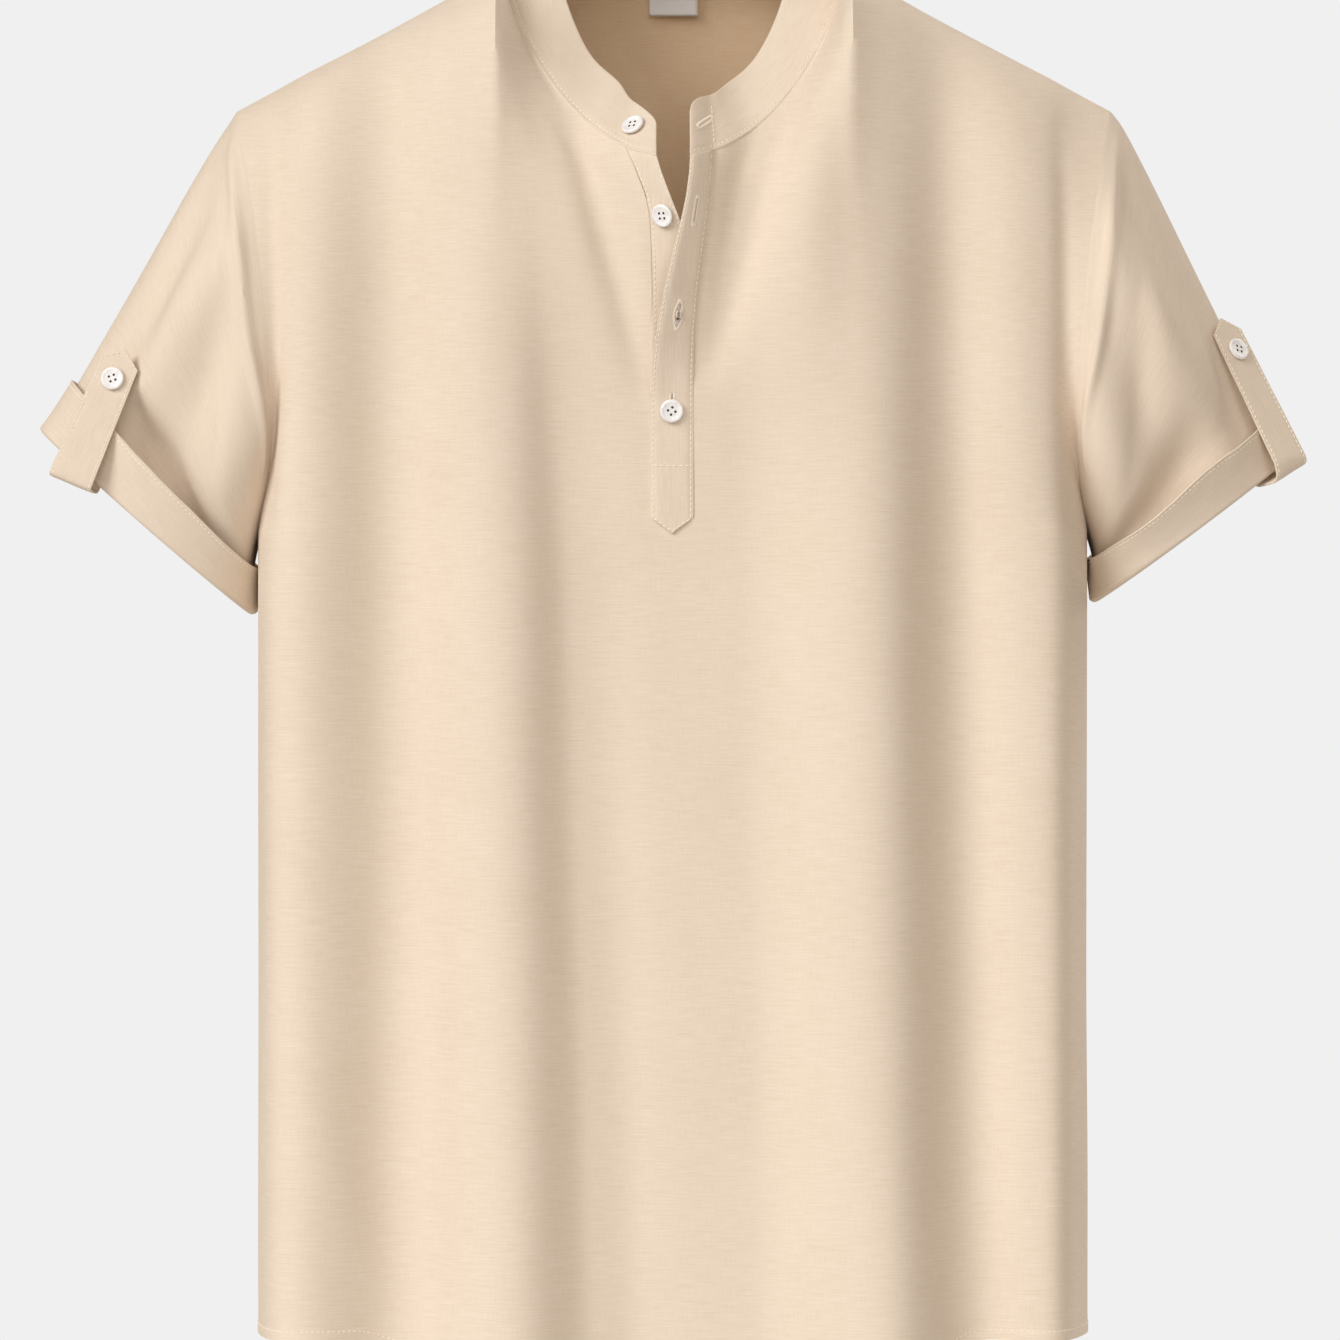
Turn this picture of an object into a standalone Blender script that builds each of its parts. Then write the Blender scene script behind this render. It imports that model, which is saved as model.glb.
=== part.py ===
"""Henley shirt with a band collar, a half placket and short sleeves with tabbed, turned-back cuffs.

The shirt is filled out as if worn: a hollow body with open neck, hem and cuffs. Sizes are in millimetres
and become metres when a mesh is made. The origin lies on the shoulder line, in the middle of the neck;
+Z is up, the front faces -Y, and +X is the wearer's left. "Right" and "left" in names are the wearer's.
"""
import math

import bpy
import numpy as np
from mathutils import Matrix, Vector

MM = 0.001

# Cloth
WALL = 1.2
COLLAR_WALL = 1.8
SEAM = 0.3                      # gap between pieces that are sewn together

# Body
HALF_WIDTH = 216.0
FRONT_DEPTH = 80.0
BACK_DEPTH = 76.0
SECTION_POWER = 3.4             # squareness of the body's plan outline
UNDERARM_Z = -294.0
HEM_SIDE_Z = -711.0
HEM_CENTRE_Z = -745.0
HEM_CURVE_OUT = 166.0           # the hem's curve runs between these distances from the centre
HEM_CURVE_IN = 88.0
CHEST_PULL = 1.38               # how strongly the cloth keeps straight up from underarm level
FOLDS_END = 0.75                # share of the way up from there where the folds begin to fade

# Shoulders, neck and armholes
NECK_HALF = 90.0
NECK_FRONT_Y = -76.0
NECK_FRONT_Z = -105.0
NECK_BACK_Y = 62.0
NECK_BACK_Z = 3.0
NECK_FRONT_TILT = (14.0, 76.0)  # degrees off upright where the cloth meets the neckline: middle, sides more
NECK_BACK_TILT = (50.0, 40.0)
NECK_PULL = (190.0, 95.0)       # how strongly it keeps that direction: middle, more at the sides
SHOULDER_PULL = 3.6
SHOULDER_X = 229.0
SHOULDER_Z = -73.5
ARMHOLE_SCOOP = 13.0
ARMHOLE_TUCK = 0.21             # share of the half front that the armhole's scoop takes in
ARMHOLE_FRONT_Y = -62.0
ARMHOLE_BACK_Y = 52.0

# Collar band
COLLAR_HEIGHT = 33.0
COLLAR_FOOT = 0.9               # the leaning band starts this far above the neckline
COLLAR_ENDS = (-9.0, 8.4)       # x of the band's two front ends
COLLAR_CORNERS = ((20.0, 12.0), (8.0, 7.0))  # of the wearer's right and left end: along, high
COLLAR_LEAN = (                 # share of the way to centre back; lean inward in degrees, right and left
    (0.00, 41.0, 26.0),
    (0.10, 43.0, 32.0),
    (0.25, 46.0, 42.0),
    (0.45, 50.0, 50.0),
    (0.70, 36.0, 36.0),
    (1.00, 16.0, 16.0),
)
COLLAR_FRONT = 60.0             # within this of an end the band leans straight back, not inward

# Sleeves and cuffs
# Columns: x and z of the cuff's middle; how far in degrees the sleeve's axis, and its outer side near the
# cuff, lean out from straight down; half the cuff's long and short side; the band's height in the middle,
# how much higher it is outside than that, and how far its edge stands off, all round and more at the front.
CUFFS = {
    "right": (275.5, -288.0, 41.5, 41.0, 71.5, 42.0, 25.5, 4.0, 1.0, 3.4),
    "left": (271.0, -291.5, 37.1, 31.0, 62.0, 42.0, 22.0, 1.0, 1.0, 7.0),
}
FOLD_RADIUS = 1.3
HANG_FROM = 60.0                # between these angles from the outer edge the sleeve comes to hang down
HANG_FULL = 125.0
BODY_CLEAR = 1.0                # the sleeve keeps this far off the body
# Direction in which a sleeve leaves the armhole. Columns: halfway round, more on the outer side, more where
# it hangs.
LEAVE_OUT = (0.93, -0.12, -0.60)
LEAVE_UP = (-0.38, -0.30, -0.80)
LEAVE_FULL = 0.34
# How strongly it keeps its directions. Columns: everywhere, more on the outer side, more in front and behind.
START_PULL = (34.0, 20.0, 70.0)
END_PULL = (52.0, 95.0, 20.0)

# Tabs, seen from the front. Columns: x, y and z of the middle of the lower edge; x and z of the tip; how
# far in degrees the tab's outer edge is turned to the back; how much lower the inner corner hangs; how far
# below the tip the button sits.
TABS = {
    "right": (312.2, -48.0, -270.4, 284.2, -200.5, 8.0, 0.0, 16.5),
    "left": (312.2, -22.0, -264.2, 290.7, -181.5, 40.0, 5.5, 18.5),
}
TAB_WIDTH_FOOT = 24.0
TAB_WIDTH_TIP = 20.5
TAB_POINT = 8.0
TAB_INSIDE = 30.0               # the tab's hidden end is this high above its lower edge
TAB_BEND = 5.0                  # height of the round turn at its lower edge
TAB_CLEAR = 0.6                 # least gap between a tab and the sleeve or band beside it
TAB_SEES = (-40.0, 140.0)       # angles of the sleeve in degrees that a tab is kept clear of

# Placket
SLOT_Z = -262.0
TIP_Z = -296.6
TIP_SHOULDER_Z = -288.0
SLOT_TUCK = 1.5                 # the front runs this far under the strip on the wearer's left

# Buttons
BUTTON_RADIUS = 6.0
BUTTON_HEIGHT = 2.2

# The body's folds, each a line down the cloth. Columns: x and height (+ is out) at the shoulder blades,
# the waist and the hem.
FOLD_LEVELS = (-60.0, -320.0, -740.0)
FRONT_FOLDS = (
    (-216.0, 0.0, -216.0, 0.0, -216.0, 0.0),
    (-183.0, 7.0, -195.0, 9.0, -192.0, 9.0),
    (-146.0, -5.0, -137.0, -11.0, -135.0, -13.0),
    (-103.0, 6.0, -87.0, 11.0, -80.0, 13.0),
    (-74.0, -4.0, -54.0, -6.0, -40.0, -9.0),
    (-52.0, 0.0, -26.0, -8.0, -12.0, -11.0),
    (26.0, -2.0, 34.0, -8.0, 42.0, -11.0),
    (99.0, 6.0, 101.0, 11.0, 108.0, 13.0),
    (141.0, -5.0, 148.0, -10.0, 158.0, -11.0),
    (184.0, 5.0, 191.0, 8.0, 194.0, 8.0),
    (216.0, 0.0, 216.0, 0.0, 216.0, 0.0),
)
BACK_FOLDS = (
    (-216.0, 0.0, -216.0, 0.0, -216.0, 0.0),
    (-176.0, 2.0, -186.0, 8.0, -188.0, 9.0),
    (-140.0, -2.0, -146.0, -8.0, -138.0, -10.0),
    (-92.0, 3.0, -96.0, 10.0, -88.0, 12.0),
    (-44.0, -1.0, -40.0, -8.0, -46.0, -10.0),
    (6.0, 1.0, 10.0, 7.0, 2.0, 10.0),
    (52.0, -1.0, 60.0, -9.0, 52.0, -11.0),
    (100.0, 3.0, 106.0, 10.0, 104.0, 12.0),
    (148.0, -2.0, 150.0, -8.0, 152.0, -9.0),
    (186.0, 2.0, 190.0, 8.0, 190.0, 9.0),
    (216.0, 0.0, 216.0, 0.0, 216.0, 0.0),
)

# The neck opening, level by level. Columns: z; then for the wearer's right and left side the x of the
# soft trough beside the strip, of the strip's seam and of its free edge, and how far the edge stands out.
OPENING = (
    (-96.0, -50.0, -27.5, -9.5, 11.5, 43.0, 21.2, 8.8, 9.5),
    (-105.0, -46.0, -25.0, -9.0, 11.5, 39.0, 20.6, 8.4, 9.5),
    (-113.0, -42.0, -20.5, -6.6, 11.0, 36.0, 20.2, 8.0, 9.5),
    (-126.0, -37.0, -14.5, -1.8, 10.5, 33.0, 18.8, 6.3, 9.5),
    (-136.0, -33.0, -12.2, 2.2, 9.0, 31.0, 17.6, 4.2, 9.2),
    (-150.0, -29.0, -11.5, 7.4, 5.0, 28.0, 16.0, 0.6, 9.4),
    (-171.0, -25.0, -11.0, 8.2, 0.8, 24.0, 12.9, -4.4, 9.6),
    (-195.0, -22.0, -11.0, 8.0, 0.0, 20.0, 11.0, -8.8, 8.0),
    (-212.0, -20.0, -11.0, 7.8, 0.0, 19.0, 10.4, -11.2, 4.2),
    (-228.0, -20.0, -11.0, 7.8, 0.0, 19.0, 10.2, -12.0, 0.8),
    (-245.0, -20.0, -11.0, 7.8, 0.0, 19.0, 10.2, -12.0, 0.0),
    (-300.0, -20.0, -11.0, 7.8, 0.0, 19.0, 10.2, -12.0, 0.0),
)
SIDE_COLUMNS = {"right": 1, "left": 5}
PANEL_LIFT = 9.0                # the front's own rise beside the strips, at the neck
PANEL_LIFT_END_Z = -215.0
STRIP_BOW = 1.2                 # the strips bow out, so that their lift comes early

# Soft folds of a sleeve. Columns: angle round from the outer edge towards the front, half spread in
# degrees, share along from armhole to cuff where it is deepest, half spread along, height.
SLEEVE_FOLDS = (
    (38.0, 16.0, 0.30, 0.45, -4.0),
    (62.0, 16.0, 0.45, 0.40, 4.0),
    (88.0, 15.0, 0.45, 0.40, -5.0),
    (118.0, 18.0, 0.45, 0.35, 5.0),
    (98.0, 40.0, 0.78, 0.12, -8.0),
    (-50.0, 18.0, 0.40, 0.40, -4.0),
    (-85.0, 18.0, 0.45, 0.40, 4.0),
    (-118.0, 18.0, 0.50, 0.40, -5.0),
)

CLOTH_COLOUR = (0.80, 0.63, 0.47, 1.0)
BUTTON_COLOUR = (0.86, 0.84, 0.80, 1.0)
LABEL_COLOUR = (0.90, 0.90, 0.88, 1.0)


def ease(value):
    """Smooth step from 0 to 1, flat at both ends."""
    t = min(max(value, 0.0), 1.0)
    return t * t * (3.0 - 2.0 * t)


def unit(vector):
    return vector / np.linalg.norm(vector)


def hermite(start, end, start_pull, end_pull, t):
    """Point on the cubic that leaves start along start_pull and reaches end along end_pull."""
    t2, t3 = t * t, t * t * t
    return (start * (2 * t3 - 3 * t2 + 1) + end * (3 * t2 - 2 * t3)
            + start_pull * (t3 - 2 * t2 + t) + end_pull * (t3 - t2))


# ---------------------------------------------------------------- body


def quarter_outline(depth):
    """A quarter of the body's plan outline: arc length from the centre line, x, and distance from y = 0."""
    angle = np.linspace(0.0, math.pi / 2, 1441)
    x = HALF_WIDTH * np.sin(angle) ** (2.0 / SECTION_POWER)
    y = depth * np.cos(angle) ** (2.0 / SECTION_POWER)
    arc = np.concatenate(([0.0], np.cumsum(np.hypot(np.diff(x), np.diff(y)))))
    return arc, x, y


class Panel:
    """One of the two body pieces; `face` is -1 for the front and +1 for the back."""

    def __init__(self, face, depth, folds, armhole_y):
        self.face = face
        self.arc, self.out_x, self.out_y = quarter_outline(depth)
        self.half_arc = self.arc[-1]
        self.depth = depth
        self.folds = np.array(folds)
        self.armhole_y = armhole_y

    def outline(self, s):
        """Plan point of the body at arc length s from the centre line, with its outward direction."""
        reach = min(abs(s), self.half_arc)
        side = math.copysign(1.0, s)
        x = float(np.interp(reach, self.arc, self.out_x))
        y = float(np.interp(reach, self.arc, self.out_y))
        power = SECTION_POWER - 1.0
        out = np.array([side * (x / HALF_WIDTH) ** power / HALF_WIDTH,
                        self.face * (y / self.depth) ** power / self.depth, 0.0])
        return np.array([side * x, self.face * y, UNDERARM_Z]), unit(out)

    def fold_height(self, x, z):
        """How far the folds carry the cloth out at x, z: a cosine wave through the fold lines."""
        levels = FOLD_LEVELS[::-1]
        lines = np.array([np.interp(z, levels, row[0::2][::-1]) for row in self.folds])
        heights = np.array([np.interp(z, levels, row[1::2][::-1]) for row in self.folds])
        index = int(np.clip(np.searchsorted(lines, x) - 1, 0, len(lines) - 2))
        share = np.clip((x - lines[index]) / (lines[index + 1] - lines[index]), 0.0, 1.0)
        wave = (1.0 - math.cos(math.pi * share)) / 2.0
        return heights[index] + (heights[index + 1] - heights[index]) * wave

    def armhole(self, v, side):
        """Armhole point, v = 0 at the underarm and 1 at the shoulder."""
        turn = math.pi * v
        rise = (1.0 - math.cos(turn)) / 2.0
        x = HALF_WIDTH + (SHOULDER_X - HALF_WIDTH) * v - ARMHOLE_SCOOP * math.sin(math.pi * v ** 0.8) ** 2
        return np.array([side * x, self.armhole_y * math.sin(turn),
                         UNDERARM_Z + (SHOULDER_Z - UNDERARM_Z) * rise])

    def neck(self, x):
        """Neckline point and the direction in which the cloth reaches it."""
        share = min(abs(x) / NECK_HALF, 1.0)
        round_in = math.sqrt(1.0 - share * share)
        if self.face < 0:
            point = (x, NECK_FRONT_Y * round_in, NECK_FRONT_Z * round_in ** 1.5)
            tilt = math.radians(NECK_FRONT_TILT[0] + NECK_FRONT_TILT[1] * share ** 2)
        else:
            point = (x, NECK_BACK_Y * round_in ** 0.8, NECK_BACK_Z * round_in)
            tilt = math.radians(NECK_BACK_TILT[0] + NECK_BACK_TILT[1] * share ** 2)
        return np.array(point), np.array([0.0, -self.face * math.sin(tilt), math.cos(tilt)])

    def top(self, s):
        """Point of the neckline or shoulder seam at arc length s, and the pull towards it."""
        if abs(s) <= NECK_HALF:
            point, direction = self.neck(s)
            share = (abs(s) / NECK_HALF) ** 2
            return point, direction * (NECK_PULL[0] + NECK_PULL[1] * share)
        share = (abs(s) - NECK_HALF) / (self.half_arc - NECK_HALF)
        x = NECK_HALF + (SHOULDER_X - NECK_HALF) * share
        z = SHOULDER_Z * share
        depth = abs(self.outline(s)[0][1])
        end_pull = np.array([0.0, -self.face * SHOULDER_PULL * depth, 0.0])
        return np.array([math.copysign(x, s), 0.0, z]), end_pull

    def upper_sheet(self, s, v):
        """Unfolded cloth between underarm level (v = 0) and neckline or shoulder (v = 1)."""
        start, out = self.outline(s)
        end, end_pull = self.top(s)
        start_pull = np.array([0.0, 0.0, CHEST_PULL * (end[2] - start[2])])
        return hermite(start, end, start_pull, end_pull, v), out

    def point(self, s, row):
        """Outer face of the cloth. Row 0 is the hem, 1 the underarm level, 2 the top edge."""
        share = abs(s) / self.half_arc
        if row <= 1.0:
            base, out = self.outline(s)
            base[2] = hem_z(base[0]) + (UNDERARM_Z - hem_z(base[0])) * row
            return base + out * self.fold_height(base[0], base[2])
        v = row - 1.0
        side = math.copysign(1.0, s)
        tuck = ARMHOLE_TUCK * math.sin(math.pi * v) ** 0.8
        base, out = self.upper_sheet(s - side * self.half_arc * tuck * share ** 4, v)
        edge, _ = self.upper_sheet(side * self.half_arc * (1.0 - tuck), v)
        base = base + (self.armhole(v, side) - edge) * share ** 6
        fade = (1.0 - ease((v - FOLDS_END) / (1.0 - FOLDS_END))) * (1.0 - share ** 8)
        return base + out * self.fold_height(base[0], base[2]) * fade

    def row_at(self, s, z):
        """The row at which the cloth on line s reaches height z, from below the underarm to the top edge."""
        rows = np.concatenate((np.linspace(0.8, 1.0, 20, endpoint=False), np.linspace(1.0, 2.0, 121)))
        heights = [self.point(s, row)[2] for row in rows]
        return float(np.interp(z, heights, rows))


def hem_z(x):
    inner = 1.0 - ease((abs(x) - HEM_CURVE_IN) / (HEM_CURVE_OUT - HEM_CURVE_IN))
    return HEM_SIDE_Z + (HEM_CENTRE_Z - HEM_SIDE_Z) * inner


FRONT = Panel(-1, FRONT_DEPTH, FRONT_FOLDS, ARMHOLE_FRONT_Y)
BACK = Panel(1, BACK_DEPTH, BACK_FOLDS, ARMHOLE_BACK_Y)


# ---------------------------------------------------------------- neck opening


def opening(side, z):
    """Trough, seam and free edge of a placket strip at height z, and the free edge's lift."""
    table = np.array(OPENING)[::-1]
    first = SIDE_COLUMNS[side]
    return [float(np.interp(z, table[:, 0], table[:, column])) for column in range(first, first + 4)]


def opening_lift(x, z, side):
    """How far the cloth beside the neck opening stands out from the plain front, at x, z."""
    trough, seam, free, lift = opening(side, z)
    level = ease((z - PANEL_LIFT_END_Z) / (NECK_FRONT_Z - PANEL_LIFT_END_Z))
    beside = PANEL_LIFT * level * ease((x - trough) / (seam - trough))
    across = min(max((x - seam) / (free - seam), 0.0), 1.0)
    return beside + lift * (1.0 - (1.0 - across) ** STRIP_BOW)


def front_at(x, z, side, out=0.0):
    """Point of the front's outer face at x, z near the centre, with the opening's lift, moved out."""
    base = FRONT.point(x, FRONT.row_at(x, z))
    return np.array([x, base[1] - opening_lift(x, z, side) - out, z])


def neck_edge(x):
    """Front neckline point, with the lift that the strips give it."""
    point, _ = FRONT.neck(x)
    side = "right" if x < 0 else "left"
    point[1] -= opening_lift(x, point[2], side)
    return point


# ---------------------------------------------------------------- meshes


def material(name, colour, roughness):
    made = bpy.data.materials.new(name)
    made.use_nodes = True
    shader = made.node_tree.nodes["Principled BSDF"]
    shader.inputs["Base Color"].default_value = colour
    shader.inputs["Roughness"].default_value = roughness
    made.diffuse_color = colour
    return made


def add_object(name, mesh, finish):
    mesh.materials.append(finish)
    made = bpy.data.objects.new(name, mesh)
    SHIRT.objects.link(made)
    return made


def cloth_piece(name, grid, finish, wall=WALL, closed=False, flip=False, left_out=()):
    """Open surface through a grid of points (rows of columns, mm), thickened inward by Solidify.

    `closed` joins the last column to the first, `flip` turns the faces over, and `left_out` names the
    cells, as (row, column), that stay open.
    """
    rows, columns = len(grid), len(grid[0])
    points = [tuple(float(c) * MM for c in point) for row in grid for point in row]
    faces = []
    for r in range(rows - 1):
        for c in range(columns if closed else columns - 1):
            if (r, c) in left_out:
                continue
            nxt = (c + 1) % columns
            face = (r * columns + c, r * columns + nxt, (r + 1) * columns + nxt, (r + 1) * columns + c)
            faces.append(face[::-1] if flip else face)
    used = sorted({index for face in faces for index in face})
    place = {index: order for order, index in enumerate(used)}
    mesh = bpy.data.meshes.new(name)
    mesh.from_pydata([points[i] for i in used], [], [[place[i] for i in face] for face in faces])
    mesh.shade_smooth()
    made = add_object(name, mesh, finish)
    shell = made.modifiers.new("Wall", "SOLIDIFY")
    shell.thickness = wall * MM
    shell.offset = -1.0
    return made


def pull_back(edge, inner, distance):
    """Move the points of an edge towards the next line of points, to leave half a seam's gap."""
    return [point + unit(nearby - point) * distance for point, nearby in zip(edge, inner)]


# ---------------------------------------------------------------- body pieces


def body_columns(panel, near_centre):
    """Arc lengths of the lines of points on one side, from near the centre out to the side seam."""
    outer = [panel.half_arc * share for share in (0.745, 0.79, 0.835, 0.875, 0.915, 0.955)]
    return list(near_centre) + [102.0, 118.0, 134.0, 150.0, 165.0, 180.0] + outer + [panel.half_arc]


def finish_body_grid(grid):
    """Pull the outer edges of a body grid back from their seams."""
    for row in grid:
        row[0], row[-1] = (pull_back([row[0]], [row[1]], SEAM / 2)[0],
                           pull_back([row[-1]], [row[-2]], SEAM / 2)[0])
    grid[-1] = pull_back(grid[-1], grid[-2], SEAM)
    return grid


SLOT_ROW = FRONT.row_at(0.0, SLOT_Z)
SLOT_ROWS = [SLOT_ROW] + [1.0 + share for share in
                          (0.21, 0.30, 0.38, 0.46, 0.54, 0.61, 0.68, 0.745, 0.81, 0.87, 0.925, 0.965, 1.0)]


def make_front(finish):
    rows = [0.0, 0.15, 0.32, 0.49, 0.66, 0.83, 1.0, (1.0 + SLOT_ROW) / 2] + SLOT_ROWS
    outer = body_columns(FRONT, (58.0, 68.0, 76.0, 82.5, 87.5, NECK_HALF))
    grid = []
    for row in rows:
        z = FRONT.point(0.0, row)[2]
        line = [-s for s in reversed(outer)]
        seam_right = opening("right", z)[1] - SEAM
        seam_left = opening("left", z)[1]
        line += [-58.0 + (seam_right + 58.0) * k / 3 for k in (1, 2, 3)]
        line += [(seam_right + seam_left - SLOT_TUCK) / 2]
        line += [seam_left - SLOT_TUCK] + [seam_left + (58.0 - seam_left) * k / 3 for k in (0, 1, 2)]
        line += outer
        points = []
        for s in line:
            point = FRONT.point(s, row)
            if row > 1.0:
                point[1] -= opening_lift(point[0], point[2], "right" if s < seam_right + 1.0 else "left")
            points.append(point)
        grid.append(points)
    first = len(outer) + 2
    slot = [(r, c) for r in range(rows.index(SLOT_ROW), len(rows) - 1) for c in (first, first + 1)]
    return cloth_piece("front", finish_body_grid(grid), finish, left_out=slot)


def make_back(finish):
    rows = [0.0, 0.15, 0.32, 0.49, 0.66, 0.83] + [1.0 + k / 11 for k in range(12)]
    half = body_columns(BACK, (20.0, 40.0, 57.0, 70.0, 79.0, 85.0, 88.5, NECK_HALF))
    line = [-s for s in reversed(half)] + [0.0] + half
    grid = [[BACK.point(s, row) for s in line] for row in rows]
    return cloth_piece("back", finish_body_grid(grid), finish, flip=True)


# ---------------------------------------------------------------- collar


class Collar:
    """The band: a line round the neck with a rise at each place, measured from the wearer's right end."""

    def __init__(self):
        right_end, left_end = COLLAR_ENDS
        bend = [math.sin(a) for a in np.linspace(0.0, math.pi / 2, 61)]
        front_right = [neck_edge(right_end - (NECK_HALF + right_end) * b) for b in bend]
        back = [BACK.neck(NECK_HALF * math.sin(a))[0]
                for a in np.linspace(-math.pi / 2, math.pi / 2, 121)]
        front_left = [neck_edge(left_end + (NECK_HALF - left_end) * b) for b in reversed(bend)]
        self.line = np.array(front_right + back[1:-1] + front_left)
        steps = np.linalg.norm(np.diff(self.line, axis=0), axis=1)
        self.arc = np.concatenate(([0.0], np.cumsum(steps)))
        self.length = self.arc[-1]

    def foot(self, station):
        at = min(max(station, 0.0), self.length)
        return np.array([np.interp(at, self.arc, self.line[:, k]) for k in range(3)])

    def point(self, station, share):
        """Outer face of the band, share 0 at the neckline and 1 at the top edge."""
        along = self.foot(station + 9.0) - self.foot(station - 9.0)
        inward = unit(np.array([along[1], -along[0], 0.0]))
        from_end = min(station, self.length - station)
        turned = ease(from_end / COLLAR_FRONT)
        inward = unit(inward * turned + np.array([0.0, 1.0, 0.0]) * (1.0 - turned))
        near_left = station > self.length / 2
        table = np.array(COLLAR_LEAN)
        lean = math.radians(float(np.mean([
            np.interp(2.0 * (from_end + shift) / self.length, table[:, 0], table[:, 2 if near_left else 1])
            for shift in (-12.0, -6.0, 0.0, 6.0, 12.0)])))
        rise = np.array([0.0, 0.0, math.cos(lean)]) + inward * math.sin(lean)
        long, high = COLLAR_CORNERS[1 if near_left else 0]
        cut = high * (1.0 - math.sqrt(1.0 - max(1.0 - from_end / long, 0.0) ** 2))
        return self.foot(station) + rise * (COLLAR_FOOT + (COLLAR_HEIGHT - cut) * share)


def make_collar(collar, finish):
    ends = [0.0, 1.0, 3.0, 6.0, 9.0, 13.0, 18.0, 25.0]
    middle = np.linspace(34.0, collar.length - 34.0, 34)
    stations = ends + list(middle) + [collar.length - e for e in reversed(ends)]
    grid = [[collar.point(station, k / 4) for station in stations] for k in range(5)]
    return cloth_piece("collar", grid, finish, wall=COLLAR_WALL, flip=True)


# ---------------------------------------------------------------- placket strips


def strip_row(row, side, columns, out):
    """One row of points across a strip, from its seam to its free edge, moved out from the front."""
    z = FRONT.point(0.0, row)[2]
    _, seam, free, lift = opening(side, z)
    out *= math.hypot(1.0, STRIP_BOW * lift / (free - seam))
    points = []
    for c in range(columns):
        point = FRONT.point(seam + (free - seam) * c / (columns - 1), row)
        point[1] -= opening_lift(point[0], point[2], side) + out
        points.append(point)
    return points


def make_top_strip(finish):
    """The strip on the wearer's left, which lies over the other and ends in a point."""
    columns = 5
    out = SEAM + WALL
    grid = [strip_row(row, "left", columns, out) for row in reversed(SLOT_ROWS)]
    grid[0] = pull_back(grid[0], grid[1], SEAM)
    grid.append(strip_row(FRONT.row_at(0.0, (SLOT_Z + TIP_SHOULDER_Z) / 2), "left", columns, out))
    _, seam, free, _ = opening("left", TIP_SHOULDER_Z)
    tip = []
    for c in range(columns):
        across = c / (columns - 1)
        point_in = 1.0 - abs(2.0 * across - 1.0)
        tip_z = TIP_SHOULDER_Z + (TIP_Z - TIP_SHOULDER_Z) * point_in
        tip.append(front_at(seam + (free - seam) * across, tip_z, "left", out))
    return cloth_piece("placket_top", grid + [tip], finish)


def make_under_strip(finish):
    """The strip on the wearer's right, which fills the slot behind the other."""
    grid = [strip_row(row, "right", 5, 0.0) for row in reversed(SLOT_ROWS)]
    grid[0] = pull_back(grid[0], grid[1], SEAM)
    grid[-1] = pull_back(grid[-1], grid[-2], SEAM)
    return cloth_piece("placket_under", grid, finish, flip=True)


# ---------------------------------------------------------------- sleeves


def body_side(y, z):
    """Distance of the body's side from the centre plane at y, z, below the shoulder."""
    panel = FRONT if y < 0 else BACK
    rise = min(max((z - UNDERARM_Z) / (SHOULDER_Z - UNDERARM_Z), 0.0), 1.0)
    edge = panel.armhole(math.acos(1.0 - 2.0 * rise) / math.pi, 1)[0]
    return edge * max(1.0 - (abs(y) / panel.depth) ** SECTION_POWER, 0.0) ** (1.0 / SECTION_POWER)


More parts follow.
